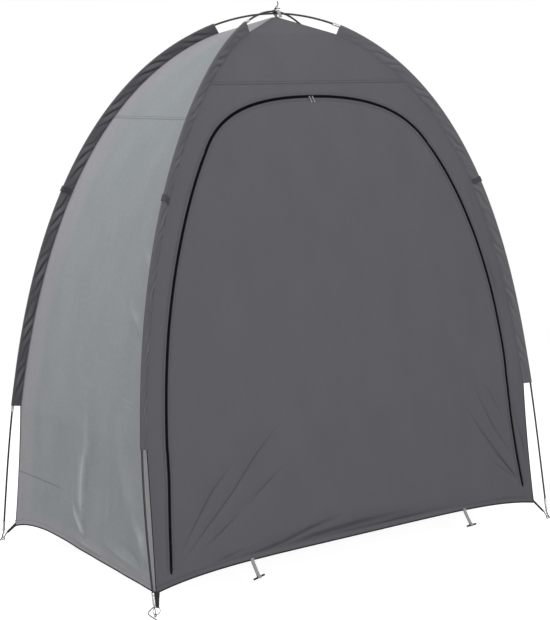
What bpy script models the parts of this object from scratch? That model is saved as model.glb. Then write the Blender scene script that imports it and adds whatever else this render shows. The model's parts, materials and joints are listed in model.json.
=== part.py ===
# Storage tent for bicycles: two crossing poles carry four fabric walls by sleeves along the hips.
# Metres, +Z up. The door faces -Y, and the origin is on the floor under the crossing.
import math

import bmesh
import bpy
import numpy as np
from mathutils import Vector
from mathutils.geometry import delaunay_2d_cdt

# Poles: where the feet stand, how high they cross, and the shape of a leg.
HALF_WIDTH = 0.882
HALF_DEPTH = 0.525
LEG_BASE_HEIGHT = 0.0065
CROSSING_HEIGHT = 1.9065
LEG_CURVE_X = (2.57, 1.93)
LEG_CURVE_Y = (2.645, 1.863)
LEG_HOLLOW_Y = 0.728
SLEEVE_PLANE_SHARE = 0.82
POLE_RADIUS = 0.0035
POLE_SIDES = 8

# Fit between touching pieces, and the thickness that stands for the fabric.
GAP = 0.0003
CLOTH = 0.003

# Sleeves: the flat tunnels that hold the poles, from low on a leg to near the crossing.
SLEEVE_LOW = math.radians(15.7)
SLEEVE_HIGH = math.radians(77.7)
SLEEVE_WALL = 0.0012
SLEEVE_NECK = 0.0095
SEAM_DEPTH_LOW = 0.0285
SEAM_DEPTH_HIGH = 0.0345
SEAM_DEPTH_RISE = math.radians(22)
LEG_STEP = math.radians(4.2)

# Walls: their lower corners, the crown, the cross seams and the hems.
CORNER = Vector((0.8510, 0.4815, 0.0612))
CROWN = Vector((0.010, 0.0046, 1.8895))
FRONT_SEAM_HEIGHT = 1.660
SIDE_SEAM_HEIGHT = 1.546
SIDE_BANDS = (0.273, 0.93)
BACK_BANDS = (0.874, 1.398)
FRONT_HEM_HEIGHT = 0.096
SIDE_HEM_HEIGHT = 0.0865
SIDE_HEM_SWAY = 0.012
HEM_POWER = 5
HEM_STEPS = 14

# Doorway: its margin to the hip seam, and the arch over it.
DOOR_MARGIN = 0.070
DOOR_MARGIN_RISE = 0.0038
DOOR_MARGIN_LOW = 0.0065
DOOR_FLARE = {-1: 0.021, 1: 0.046}
DOOR_FLARE_HEIGHT = 0.42
DOOR_SPRING_HEIGHT = 1.44
DOOR_TOP_HEIGHT = 1.611
DOOR_ARCH_SIDE = 0.12
DOOR_ARCH_TOP = 0.30
DOOR_ARCH_STEPS = 12
DOOR_SWAY = -0.026
ZIP_WIDTH = 0.008
ZIP_THICKNESS = 0.0016
ZIP_LIFT = 0.0004
ZIP_END_HEIGHT = 0.125
PULL_SPACING = 0.013

# Fittings on the poles.
FERRULE_RADIUS = 0.0048
UPPER_FERRULE_END = math.radians(79.7)
LOWER_FERRULE_END = math.radians(15.0)
TIP_RADIUS = 0.0047
TIP_TOP_ANGLE = math.radians(2.12)
TIP_BOTTOM_ANGLE = math.radians(0.83)
POLE_END_ANGLE = math.radians(1.2)

# Wire parts at the feet.
PIN_RADIUS = 0.0017
EYE_RADIUS = 0.0048
RING_RADIUS = 0.0125
RING_WIRE_RADIUS = 0.0011
RING_LEAN = math.radians(33)
PEG_RADIUS = 0.0018
PEG_REACH = 0.15

# Webbing parts.
TAB_WIDTH_TOP = 0.024
TAB_WIDTH_END = 0.012
TAB_THICKNESS = 0.0024
GUY_LOOP_ANGLE = math.radians(42.8)
GUY_LOOP_WIDTH = 0.014
GUY_LOOP_THICKNESS = 0.0011
TOGGLE_PLACES = {"left": -0.471, "right": 0.492}
TOGGLE_REACH = 0.038
TOGGLE_BAR_HEIGHT = 0.045
TOGGLE_STRAP_WIDTH = 0.009
TOGGLE_STRAP_THICKNESS = 0.0016
TOGGLE_BAR_LENGTH = 0.046
TOGGLE_BAR_RADIUS = 0.0027
TIE_TAPE_WIDTH = 0.009
TIE_TAPE_THICKNESS = 0.0016
TIE_PLACE = 0.010
TIE_HALF_WIDTH = 0.0140
TIE_CORNER = 0.0035
TIE_SLACK = 0.0006
TIE_TAIL_HEIGHT = 0.030
TIE_TAIL_RADIUS = 0.0016

CORNERS = {"front_left": (-1, -1), "front_right": (1, -1), "back_left": (-1, 1), "back_right": (1, 1)}


# Materials

def material(name, color, roughness, metallic=0.0):
    mat = bpy.data.materials.new(name)
    mat.use_nodes = True
    shader = mat.node_tree.nodes["Principled BSDF"]
    shader.inputs["Base Color"].default_value = (*color, 1.0)
    shader.inputs["Roughness"].default_value = roughness
    shader.inputs["Metallic"].default_value = metallic
    return mat


def make_materials():
    return {
        "charcoal": material("charcoal_cloth", (0.114, 0.112, 0.125), 0.75),
        "grey": material("light_grey_cloth", (0.31, 0.325, 0.335), 0.72),
        "sleeve": material("sleeve_cloth", (0.075, 0.075, 0.084), 0.7),
        "pole": material("black_fibreglass", (0.02, 0.02, 0.022), 0.4),
        "steel": material("bright_steel", (0.62, 0.62, 0.63), 0.3, 1.0),
        "webbing": material("black_webbing", (0.018, 0.018, 0.02), 0.85),
        "grey_webbing": material("grey_webbing", (0.25, 0.25, 0.26), 0.85),
        "zip": material("black_zip", (0.012, 0.012, 0.014), 0.5),
        "toggle": material("black_plastic", (0.012, 0.012, 0.013), 0.45),
        "cord": material("grey_cord", (0.36, 0.36, 0.38), 0.8),
    }


# Mesh helpers

def add_object(name, bm, mat):
    bmesh.ops.recalc_face_normals(bm, faces=bm.faces)
    mesh = bpy.data.meshes.new(name)
    bm.to_mesh(mesh)
    bm.free()
    mesh.materials.append(mat)
    mesh.shade_smooth()
    mesh.set_sharp_from_angle(angle=math.radians(35))
    obj = bpy.data.objects.new(name, mesh)
    bpy.context.scene.collection.objects.link(obj)
    return obj


def bridge(bm, ring_a, ring_b, closed=True):
    count = len(ring_a)
    for i in range(count if closed else count - 1):
        j = (i + 1) % count
        bm.faces.new((ring_a[i], ring_a[j], ring_b[j], ring_b[i]))


def add_loft(bm, rings, loop=False):
    """Rings of points become one closed body: a bar with end caps, or a closed loop."""
    verts = [[bm.verts.new(p) for p in ring] for ring in rings]
    for a, b in zip(verts, verts[1:]):
        bridge(bm, a, b)
    if loop:
        bridge(bm, verts[-1], verts[0])
    else:
        bm.faces.new(list(reversed(verts[0])))
        bm.faces.new(verts[-1])


def add_tube(bm, outer, inner, rim=None):
    """Two nested lofts joined at both ends: a tube with a real bore. rim lists the end's faces."""
    outer_verts = [[bm.verts.new(p) for p in ring] for ring in outer]
    inner_verts = [[bm.verts.new(p) for p in ring] for ring in inner]
    for rings in (outer_verts, inner_verts):
        for a, b in zip(rings, rings[1:]):
            bridge(bm, a, b)
    count = len(outer[0])
    if rim is None:
        rim = [((i, (i + 1) % count), ((i + 1) % count, i)) for i in range(count)]
    for k in (0, -1):
        for from_outer, from_inner in rim:
            bm.faces.new([outer_verts[k][i] for i in from_outer] + [inner_verts[k][i] for i in from_inner])


def union(obj, others):
    """Join overlapping solids into obj, which stays the only one."""
    for other in others:
        mod = obj.modifiers.new("join", "BOOLEAN")
        mod.operation = "UNION"
        mod.solver = "EXACT"
        mod.object = other
    depsgraph = bpy.context.evaluated_depsgraph_get()
    mesh = bpy.data.meshes.new_from_object(obj.evaluated_get(depsgraph))
    obj.modifiers.clear()
    obj.data = mesh
    for other in others:
        bpy.data.objects.remove(other)
    return obj


def circle(radius, sides, turn=0.0):
    """Points (a, b) of a regular polygon around a section's centre."""
    return [(radius * math.cos(turn + 2 * math.pi * i / sides),
             radius * math.sin(turn + 2 * math.pi * i / sides)) for i in range(sides)]


def section(frame, points):
    centre, outward, sideways = frame
    return [centre + outward * a + sideways * b for a, b in points]


def path_frames(points, side):
    """Frames along an open path, with `side` kept as the sideways direction."""
    frames = []
    for i, p in enumerate(points):
        ahead = (points[min(i + 1, len(points) - 1)] - points[max(i - 1, 0)]).normalized()
        sideways = (side - ahead * side.dot(ahead)).normalized()
        frames.append((p, sideways.cross(ahead), sideways))
    return frames


# The line of a leg

def rounded(rise, curve):
    return max(0.0, 1 - rise ** curve[0]) ** (1 / curve[1])


def leg_point(angle, corner, height=CROSSING_HEIGHT):
    """A leg bows out like a superellipse, and hollows a little towards the tent's middle plane."""
    side_x, side_y = corner
    rise = math.sin(angle)
    reach_y = rounded(rise, LEG_CURVE_Y) - LEG_HOLLOW_Y * rise * (1 - rise)
    return Vector((side_x * HALF_WIDTH * rounded(rise, LEG_CURVE_X),
                   side_y * HALF_DEPTH * reach_y,
                   LEG_BASE_HEIGHT + (height - LEG_BASE_HEIGHT) * rise))


def pole_height(corner):
    """The pole from front left to back right lies over the other one."""
    lift = POLE_RADIUS + GAP / 2
    over = corner[0] * corner[1] > 0
    return CROSSING_HEIGHT + (lift if over else -lift)


def leg_frame(angle, corner, height=CROSSING_HEIGHT):
    """Centre of the pole, the direction away from the tent, and the direction across the leg."""
    outward_flat = Vector((corner[0] * HALF_WIDTH, corner[1] * HALF_DEPTH * SLEEVE_PLANE_SHARE, 0)).normalized()
    across = outward_flat.cross(Vector((0, 0, 1)))
    step = 0.002
    if angle + step >= math.pi / 2:
        along = -outward_flat
    else:
        low = leg_point(max(angle - step, 0.0), corner, height)
        along = (leg_point(angle + step, corner, height) - low).normalized()
    across = (across - along * across.dot(along)).normalized()
    outward = along.cross(across)
    if outward.dot(outward_flat + Vector((0, 0, 1))) < 0:
        outward = -outward
    return leg_point(angle, corner, height), outward, across


def angles_between(low, high, step=LEG_STEP):
    count = max(1, math.ceil((high - low) / step))
    return [low + (high - low) * i / count for i in range(count + 1)]


def pole_angles():
    """Stations that the poles share with the sleeves, ferrules and tips, so facets line up."""
    stops = [POLE_END_ANGLE, TIP_TOP_ANGLE, LOWER_FERRULE_END, SLEEVE_LOW, SLEEVE_HIGH, UPPER_FERRULE_END,
             math.pi / 2]
    angles = [stops[0]]
    for low, high in zip(stops, stops[1:]):
        angles += angles_between(low, high)[1:]
    return angles


# The four walls share the hip seams, as rows of an outer and an inner corner line

def seam_point(angle):
    centre, outward, _ = leg_frame(angle, (1, 1))
    share = min(1.0, (angle - SLEEVE_LOW) / SEAM_DEPTH_RISE)
    return centre - outward * (SEAM_DEPTH_LOW + (SEAM_DEPTH_HIGH - SEAM_DEPTH_LOW) * share)


def seam_rows():
    """Outer seam points from the lower corner to the crown, in the corner where x and y are positive."""
    sleeve = [seam_point(a) for a in angles_between(SLEEVE_LOW, SLEEVE_HIGH)]
    low = [CORNER.lerp(sleeve[0], i / 4) for i in range(4)]
    top = [sleeve[-1].lerp(CROWN, (i + 1) / 3) for i in range(3)]
    return low + sleeve + top


def inner_rows(rows):
    """The same line on the inside of the walls, where both walls keep their full thickness."""
    result = []
    for k, p in enumerate(rows):
        along = (rows[min(k + 1, len(rows) - 1)] - rows[max(k - 1, 0)]).normalized()
        face_y = Vector((0, along.z, -along.y)).normalized()
        face_x = Vector((along.z, 0, -along.x)).normalized()
        shift = np.linalg.solve(np.array([face_y, face_x, along]), np.array([-CLOTH, -CLOTH, 0.0]))
        result.append(p + Vector(shift))
    return result


ROWS = seam_rows()
INNER_ROWS = inner_rows(ROWS)


def locate(z):
    for k in range(len(ROWS) - 1):
        if z <= ROWS[k + 1].z:
            return k, max(0.0, (z - ROWS[k].z) / (ROWS[k + 1].z - ROWS[k].z))
    return len(ROWS) - 2, 1.0


def hip(z, axis):
    """Half width of a wall at height z: axis 0 for the front and back, 1 for the sides."""
    k, f = locate(z)
    return ROWS[k][axis] * (1 - f) + ROWS[k + 1][axis] * f


class Wall:
    """One face of the tent. A place on it is u, along the wall, and z."""

    def __init__(self, across, side):
        self.across = across
        self.depth = 1 - across
        self.side = side

    def edge(self, z):
        return hip(z, self.across) - GAP

    def point(self, u, z, lift=0.0):
        """On the outer face, or `lift` in front of it."""
        k, f = locate(z)
        outer = ROWS[k].lerp(ROWS[k + 1], f)
        inner = INNER_ROWS[k].lerp(INNER_ROWS[k + 1], f)
        away = Vector((0, 0, 0))
        away[self.depth] = outer[self.depth] - inner[self.depth]
        away.z = outer.z - inner.z
        place = Vector((0, 0, outer.z))
        place[self.depth] = outer[self.depth]
        place += away.normalized() * lift
        place[self.depth] *= self.side
        place[self.across] = u
        return place

    def inner_point(self, u, z):
        k, f = locate(z)
        inner = INNER_ROWS[k].lerp(INNER_ROWS[k + 1], f)
        place = Vector((0, 0, inner.z))
        place[self.depth] = inner[self.depth] * self.side
        at_hip = abs(abs(u) - self.edge(z)) < 1e-5
        place[self.across] = math.copysign(inner[self.across] - GAP, u) if at_hip else u
        return place


FRONT = Wall(0, -1)
BACK = Wall(0, 1)
LEFT = Wall(1, -1)
RIGHT = Wall(1, 1)


def row_crossings(outline, z):
    """Where the outline crosses height z, from left to right."""
    found = []
    for (u0, z0), (u1, z1) in zip(outline, outline[1:] + outline[:1]):
        if (z0 - z) * (z1 - z) < 0:
            found.append(u0 + (u1 - u0) * (z - z0) / (z1 - z0))
        elif abs(z0 - z) < 1e-7:
            found.append(u0)
    found = sorted(found)
    return [u for i, u in enumerate(found) if i == 0 or u - found[i - 1] > 1e-5]


def split_at_rows(outline, heights):
    """The outline with a point wherever it crosses a row."""
    result = []
    for (u0, z0), (u1, z1) in zip(outline, outline[1:] + outline[:1]):
        result.append((u0, z0))
        cuts = [z for z in heights if (z0 - z) * (z1 - z) < -1e-12]
        for z in sorted(cuts, reverse=z1 < z0):
            result.append((u0 + (u1 - u0) * (z - z0) / (z1 - z0), z))
    return result


def inside(outline, u, z):
    odd = False
    for (u0, z0), (u1, z1) in zip(outline, outline[1:] + outline[:1]):
        if (z0 > z) != (z1 > z) and u < u0 + (u1 - u0) * (z - z0) / (z1 - z0):
            odd = not odd
    return odd


def add_sheet(bm, outline, outer_place, inner_place):
    """A sheet with this outline, bent at the wall's rows, closed between its two faces."""
    low = min(z for _, z in outline)
    high = max(z for _, z in outline)
    heights = [row.z for row in ROWS if low + 1e-6 < row.z < high - 1e-6]
    outline = split_at_rows(outline, heights)
    coords = [Vector(p) for p in outline]
    count = len(coords)
    edges = [(i, (i + 1) % count) for i in range(count)]
    for z in heights:
        cuts = row_crossings(outline, z)
        for u0, u1 in zip(cuts, cuts[1:]):
            if inside(outline, (u0 + u1) / 2, z + 1e-7) or inside(outline, (u0 + u1) / 2, z - 1e-7):
                edges.append((len(coords), len(coords) + 1))
                coords += [Vector((u0, z)), Vector((u1, z))]
    verts, _, faces, *_ = delaunay_2d_cdt(coords, edges, [list(range(count))], 1, 1e-6)
    faces = [f for f in faces if inside(outline, sum(verts[i].x for i in f) / 3, sum(verts[i].y for i in f) / 3)]
    outer = [bm.verts.new(outer_place(*v)) for v in verts]
    inner = [bm.verts.new(inner_place(*v)) for v in verts]
    rim = {}
    for face in faces:
        bm.faces.new([outer[i] for i in face])
        bm.faces.new([inner[i] for i in reversed(face)])
        for a, b in zip(face, face[1:] + face[:1]):
            rim[(a, b)] = (b, a) not in rim
            if not rim[(a, b)]:
                rim.pop((a, b))
                rim.pop((b, a))
    for a, b in rim:
        bm.faces.new((outer[b], outer[a], inner[a], inner[b]))
    for vert in [v for v in bm.verts if not v.link_faces]:
        bm.verts.remove(vert)


def make_panel(name, wall, outline, mat):
    bm = bmesh.new()
    add_sheet(bm, outline, wall.point, wall.inner_point)
    return add_object(name, bm, mat)


# Outlines of the panels, as (u, z)

def hem_height(wall, u):
    """The hems rise away from the corners. Those of the sides hang a little lower towards the front."""
    middle, sway = (FRONT_HEM_HEIGHT, 0.0) if wall.across == 0 else (SIDE_HEM_HEIGHT, SIDE_HEM_SWAY)
    share = max(-1.0, min(1.0, u / wall.edge(CORNER.z)))
    if sway and share < 0:
        return CORNER.z + (middle - CORNER.z) * (1 + share)
    return middle - (middle - CORNER.z) * abs(share) ** HEM_POWER + sway * math.sin(math.pi * share)


def hem_points(wall, start, end):
    """Along the lower edge from start to end, closer together near the corners."""
    points = []
    for i in range(HEM_STEPS + 1):
        u = start + (end - start) * i / HEM_STEPS
        points.append((u, hem_height(wall, u)))
    return points


def hip_points(wall, low, high, side):
    """Up one edge of a wall, with the ends and every row between."""
    heights = [low] + [row.z for row in ROWS if low + 1e-6 < row.z < high - 1e-6] + [high]
    return [(side * wall.edge(z), z) for z in heights]


def door_half_width(z):
    share = max(0.0, min(1.0, (0.88 - z) / 0.4))
    return hip(z, 0) - DOOR_MARGIN - DOOR_MARGIN_LOW * share - DOOR_MARGIN_RISE * z ** 6


def flare(side, z):
    """The foot of each door edge runs out towards the leg."""
    return DOOR_FLARE[side] * max(0.0, 1 - z / DOOR_FLARE_HEIGHT) ** 1.2


def sway(z):
    """The arch over the door hangs a little to the left."""
    return DOOR_SWAY * (z / DOOR_TOP_HEIGHT) ** 6


def door_edge(side, low, inset=0.0):
    """One edge of the doorway from height low up to the middle of its arch, moved inwards by inset."""
    heights = [low] + [row.z for row in ROWS if low + 0.01 < row.z < DOOR_SPRING_HEIGHT - 0.01]
    points = [Vector((door_half_width(z) + flare(side, z), z)) for z in heights]
    spring = Vector((door_half_width(DOOR_SPRING_HEIGHT), DOOR_SPRING_HEIGHT))
    up = (spring - Vector((door_half_width(DOOR_SPRING_HEIGHT - 0.05), DOOR_SPRING_HEIGHT - 0.05))).normalized()
    control = (spring, spring + up * DOOR_ARCH_SIDE, Vector((DOOR_ARCH_TOP, DOOR_TOP_HEIGHT)),
               Vector((0, DOOR_TOP_HEIGHT)))
    for i in range(DOOR_ARCH_STEPS + 1):
        f = i / DOOR_ARCH_STEPS
        a, b, c, d = control
        points.append(a * (1 - f) ** 3 + b * 3 * f * (1 - f) ** 2 + c * 3 * f * f * (1 - f) + d * f ** 3)
    moved = []
    for i, p in enumerate(points):
        along = (points[min(i + 1, len(points) - 1)] - points[max(i - 1, 0)]).normalized()
        if i == len(points) - 1:
            along = Vector((-1, 0))
        z = p.y + along.x * inset
        moved.append((side * (p.x - along.y * inset) + sway(z), z))
    return moved


def make_front(mats):
    foot = {}
    for side in (-1, 1):
        foot[side] = FRONT_HEM_HEIGHT
        for _ in range(8):
            foot[side] = hem_height(FRONT, door_half_width(foot[side]) + flare(side, foot[side]))
    edges = {side: door_edge(side, foot[side], -GAP / 2) for side in (-1, 1)}
    split = next(i for i, p in enumerate(edges[1]) if p[1] > DOOR_SPRING_HEIGHT - 0.001)
    spring_z = edges[1][split][1]
    lower = spring_z - GAP / 2
    upper = spring_z + GAP / 2

    for name, side in (("left", -1), ("right", 1)):
        low_edge = edges[side][:split]
        hem = hem_points(FRONT, low_edge[0][0], side * FRONT.edge(CORNER.z))
        hip_edge = hip_points(FRONT, CORNER.z, lower, side)
        outline = hem[:-1] + hip_edge + [(edges[side][split][0], lower)] + list(reversed(low_edge[1:]))
        if side < 0:
            outline.reverse()
        make_panel("front_wall_" + name, FRONT, outline, mats["charcoal"])

    arch = [(edges[1][split][0], upper)] + edges[1][split + 1:]
    arch += list(reversed(edges[-1][split + 1:-1])) + [(edges[-1][split][0], upper)]
    band_top = FRONT_SEAM_HEIGHT - GAP / 2
    band = arch + hip_points(FRONT, upper, band_top, -1) + list(reversed(hip_points(FRONT, upper, band_top, 1)))
    make_panel("front_wall_over_door", FRONT, band, mats["charcoal"])

    right = door_edge(1, foot[1], GAP / 2)
    left = door_edge(-1, foot[-1], GAP / 2)
    leaf_hem = hem_points(FRONT, left[0][0], right[0][0])
    leaf = leaf_hem[1:-1] + right + list(reversed(left[:-1]))
    make_panel("door_panel", FRONT, leaf, mats["charcoal"])


def top_outline(wall, seam):
    high = ROWS[-1].z
    right = hip_points(wall, seam + GAP / 2, high, 1)
    return right + [(-u, z) for u, z in reversed(right)]


def band_outline(wall, low, high):
    """The wall between two heights, or from its hem where low is None."""
    hem = []
    foot = CORNER.z
    if low is None:
        hem = hem_points(wall, -wall.edge(CORNER.z), wall.edge(CORNER.z))[1:-1]
    else:
        foot = low + GAP / 2
    right = hip_points(wall, foot, high - GAP / 2, 1)
    left = [(-u, z) for u, z in reversed(right)]
    return hem + right + left


def make_wall(name, wall, heights, seam, mat):
    """A wall in bands, from its hem to the cross seam."""
    edges = [None] + list(heights) + [seam]
    labels = ["_low", "", "_high"][:len(edges) - 1]
    for label, low, high in zip(labels, edges, edges[1:]):
        make_panel(name + label, wall, band_outline(wall, low, high), mat)


def make_walls(mats):
    make_front(mats)
    make_panel("front_crown", FRONT, top_outline(FRONT, FRONT_SEAM_HEIGHT), mats["charcoal"])
    make_wall("back_wall", BACK, BACK_BANDS, FRONT_SEAM_HEIGHT, mats["charcoal"])
    make_panel("back_crown", BACK, top_outline(BACK, FRONT_SEAM_HEIGHT), mats["charcoal"])
    for name, wall in (("left", LEFT), ("right", RIGHT)):
        make_wall(name + "_wall", wall, SIDE_BANDS, SIDE_SEAM_HEIGHT, mats["grey"])
        make_panel(name + "_crown", wall, top_outline(wall, SIDE_SEAM_HEIGHT), mats["grey"])


# Door zip and its two pulls

def make_zip(mats):
    outside = {side: door_edge(side, ZIP_END_HEIGHT, -ZIP_WIDTH / 2) for side in (-1, 1)}
    within = {side: door_edge(side, ZIP_END_HEIGHT, ZIP_WIDTH / 2) for side in (-1, 1)}
    outline = outside[1] + list(reversed(outside[-1][:-1])) + within[-1] + list(reversed(within[1][:-1]))
    bm = bmesh.new()
    add_sheet(bm, outline,
              lambda u, z: FRONT.point(u, z, ZIP_LIFT + ZIP_THICKNESS),
              lambda u, z: FRONT.point(u, z, ZIP_LIFT))
    add_object("door_zip", bm, mats["zip"])

    for name, side in (("left", -1), ("right", 1)):
        bm = bmesh.new()
        centre = sway(DOOR_TOP_HEIGHT) + side * PULL_SPACING / 2
        lift = ZIP_LIFT + ZIP_THICKNESS + GAP
        outline = [(centre + 0.006, DOOR_TOP_HEIGHT - 0.022), (centre + 0.011, DOOR_TOP_HEIGHT - 0.021),
                   (centre + 0.003, DOOR_TOP_HEIGHT + 0.004), (centre - 0.003, DOOR_TOP_HEIGHT + 0.003)]
        add_sheet(bm, outline,
                  lambda u, z: FRONT.point(u, z, lift + 0.0030),
                  lambda u, z: FRONT.point(u, z, lift))
        add_object("zip_pull_" + name, bm, mats["steel"])


# Poles, sleeves and the steel parts on the poles

def make_pole(name, corner, mat):
    other = (-corner[0], -corner[1])
    height = pole_height(corner)
    angles = pole_angles()
    rings = [section(leg_frame(a, corner, height), circle(POLE_RADIUS, POLE_SIDES)) for a in angles]
    for a in reversed(angles[:-1]):
        centre, outward, across = leg_frame(a, other, height)
        rings.append(section((centre, outward, -across), circle(POLE_RADIUS, POLE_SIDES)))
    bm = bmesh.new()
    add_loft(bm, rings)
    add_object(name, bm, mat)


def sleeve_frame(angle, corner):
    """Frame at the pole that looks straight back to the seam, and the distance to it."""
    centre, outward, across = leg_frame(angle, corner, pole_height(corner))
    seam = seam_point(angle)
    seam = Vector((seam.x * corner[0], seam.y * corner[1], seam.z))
    outward = (centre - seam).normalized()
    return (centre, outward, across), (centre - seam).length


def sleeve_outline(depth, grow=0.0):
    """A sleeve's outer outline from one side of the seam, round the pole, to the other side."""
    radius = POLE_RADIUS + GAP + SLEEVE_WALL + grow
    wall = SLEEVE_WALL + grow
    round_part = [(radius * math.cos(a), radius * math.sin(a)) for a in map(math.radians, range(-135, 136, 45))]
    return [(-depth, -wall), (-SLEEVE_NECK, -wall), *round_part, (-SLEEVE_NECK, wall), (-depth, wall)]


# End faces of a sleeve, as places on its outline and places on its bore.
SLEEVE_END_FACES = [((2 + i, 3 + i), ((6 + i) % 8, (5 + i) % 8)) for i in range(6)]
SLEEVE_END_FACES += [((8, 9), (4, 3)), ((9, 1), (4,)), ((1, 2), (5, 4)), ((9, 10, 0, 1), ())]


def make_sleeve(name, corner, mat):
    outer = []
    bore = []
    for angle in angles_between(SLEEVE_LOW, SLEEVE_HIGH):
        frame, distance = sleeve_frame(angle, corner)
        outer.append(section(frame, sleeve_outline(distance - GAP)))
        pole = leg_frame(angle, corner, pole_height(corner))
        bore.append(section(pole, circle(POLE_RADIUS + GAP, POLE_SIDES)))
    bm = bmesh.new()
    add_tube(bm, outer, bore, SLEEVE_END_FACES)
    add_object(name, bm, mat)


def make_ferrule(name, corner, low, high, radius, mat):
    angles = [low + 0.0002, *[a for a in pole_angles() if low + 0.001 < a < high - 0.001], high]
    frames = [leg_frame(a, corner, pole_height(corner)) for a in angles]
    bm = bmesh.new()
    add_tube(bm, [section(f, circle(radius, POLE_SIDES)) for f in frames],
             [section(f, circle(POLE_RADIUS + GAP, POLE_SIDES)) for f in frames])
    add_object(name, bm, mat)


# Feet: a steel tip on the pole, a pin with an eye, a ring, a tab of webbing and a peg

def eye_centre(corner):
    foot = leg_point(0.0, corner)
    return Vector((foot.x, foot.y, EYE_RADIUS + PIN_RADIUS))


def add_bar(bm, points, side, radius, sides=6, turn=0.0):
    add_loft(bm, [section(f, circle(radius, sides, turn)) for f in path_frames(points, side)])


def add_wire_ring(bm, centre, axis_a, axis_b, radius, wire, segments, sides=6):
    """A closed ring in the plane of axis_a and axis_b, with a flat facet outermost on each segment."""
    rings = []
    normal = axis_a.cross(axis_b)
    for i in range(segments):
        angle = 2 * math.pi * (i + 0.5) / segments
        out = axis_a * math.cos(angle) + axis_b * math.sin(angle)
        stretch = 1 / math.cos(math.pi / segments)
        flat = wire / math.cos(math.pi / sides)
        ring = []
        for a, b in circle(flat, sides, math.pi / sides):
            ring.append(centre + out * ((radius + a) * stretch) + normal * b)
        rings.append(ring)
    add_loft(bm, rings, loop=True)


def make_tip(name, corner, mat):
    top = leg_frame(TIP_TOP_ANGLE, corner, pole_height(corner))
    end = leg_frame(POLE_END_ANGLE, corner, pole_height(corner))
    bottom = leg_frame(TIP_BOTTOM_ANGLE, corner, pole_height(corner))
    outer = [section(f, circle(TIP_RADIUS, POLE_SIDES)) for f in (top, end, bottom)]
    wide = [section(f, circle(POLE_RADIUS + GAP, POLE_SIDES)) for f in (top, end)]
    step = (bottom[0] - end[0]).normalized() * GAP
    shoulder = (end[0] + step, end[1], end[2])
    wide.append(section(shoulder, circle(POLE_RADIUS + GAP, POLE_SIDES)))
    narrow = [section(f, circle(PIN_RADIUS + GAP, POLE_SIDES)) for f in (shoulder, bottom)]
    bm = bmesh.new()
    add_tube(bm, outer, wide + narrow)
    add_object(name, bm, mat)


def make_pin(name, corner, mat):
    """A straight shank that enters the tip, with a closed eye below it that stands on the floor."""
    centre = eye_centre(corner)
    _, outward, across = leg_frame(0.0, corner, pole_height(corner))
    flat = Vector((outward.x, outward.y, 0)).normalized()
    top = leg_point(POLE_END_ANGLE, corner, pole_height(corner))
    bottom = leg_point(TIP_BOTTOM_ANGLE, corner, pole_height(corner))
    up = (top - bottom).normalized()
    shank_top = top - up * 3 * GAP
    shank_foot = centre + Vector((0, 0, EYE_RADIUS * 0.9))
    neck = bottom - up * 0.004
    bm = bmesh.new()
    add_wire_ring(bm, centre, flat, Vector((0, 0, 1)), EYE_RADIUS, PIN_RADIUS, 12)
    eye = add_object(name, bm, mat)
    bm = bmesh.new()
    add_bar(bm, [shank_foot, neck, bottom, shank_top], across, PIN_RADIUS)
    shank = add_object(name + "_shank", bm, mat)
    union(eye, [shank])


def ring_frame(corner):
    """Centre of the ring, the direction from the pin's eye up to the tab, and the direction across."""
    foot = leg_point(0.0, corner)
    inward = Vector((-foot.x, -foot.y, 0)).normalized()
    across = inward.cross(Vector((0, 0, 1)))
    lean = inward * math.sin(RING_LEAN) + Vector((0, 0, math.cos(RING_LEAN)))
    contact = EYE_RADIUS - PIN_RADIUS - GAP - RING_WIRE_RADIUS
    low = eye_centre(corner) + lean * contact
    return low + lean * RING_RADIUS, lean, across


def make_ring(name, corner, mat):
    centre, lean, across = ring_frame(corner)
    bm = bmesh.new()
    add_wire_ring(bm, centre, lean, across, RING_RADIUS, RING_WIRE_RADIUS, 16)
    add_object(name, bm, mat)


def make_tab(name, corner, mat):
    """A taper of webbing from the walls' corner to just above the ring."""
    centre, lean, across = ring_frame(corner)
    end = centre + lean * (RING_RADIUS + RING_WIRE_RADIUS + 2 * GAP)
    start = Vector((CORNER.x * corner[0], CORNER.y * corner[1], CORNER.z - CLOTH / 2))
    ahead = (end - start).normalized()
    thick = across.cross(ahead).normalized()
    start += ahead * (GAP * 3)
    rings = []
    for centre_line, width in ((start, TAB_WIDTH_TOP * 0.35), (start.lerp(end, 0.18), TAB_WIDTH_TOP * 0.5),
                               (end, TAB_WIDTH_END / 2)):
        half = TAB_THICKNESS / 2
        rings.append([centre_line + across * (a * width) + thick * (b * half)
                      for a, b in ((-1, -1), (1, -1), (1, 1), (-1, 1))])
    bm = bmesh.new()
    add_loft(bm, rings)
    add_object(name, bm, mat)


def peg_points(corner):
    """From a hook around the pin, down beside it to the floor, and straight out from the front or back."""
    foot = leg_point(0.0, corner)
    hook = [(-0.003, -0.0093, 0.0300), (0.0035, -0.0088, 0.0300), (0.009, -0.013, 0.0235), (0.015, -0.018, 0.0155),
            (0.017, -0.013, 0.0095), (0.0135, -0.003, 0.0045)]
    points = [Vector((foot.x + corner[0] * x, foot.y + corner[1] * y, z)) for x, y, z in hook]
    heel = Vector((foot.x + corner[0] * 0.011, foot.y + corner[1] * 0.009, PEG_RADIUS))
    run = Vector((corner[0] * 0.12, corner[1], 0)).normalized()
    return points + [heel + run * (PEG_REACH * share) for share in (0.0, 0.33, 0.67, 1.0)]


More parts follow.
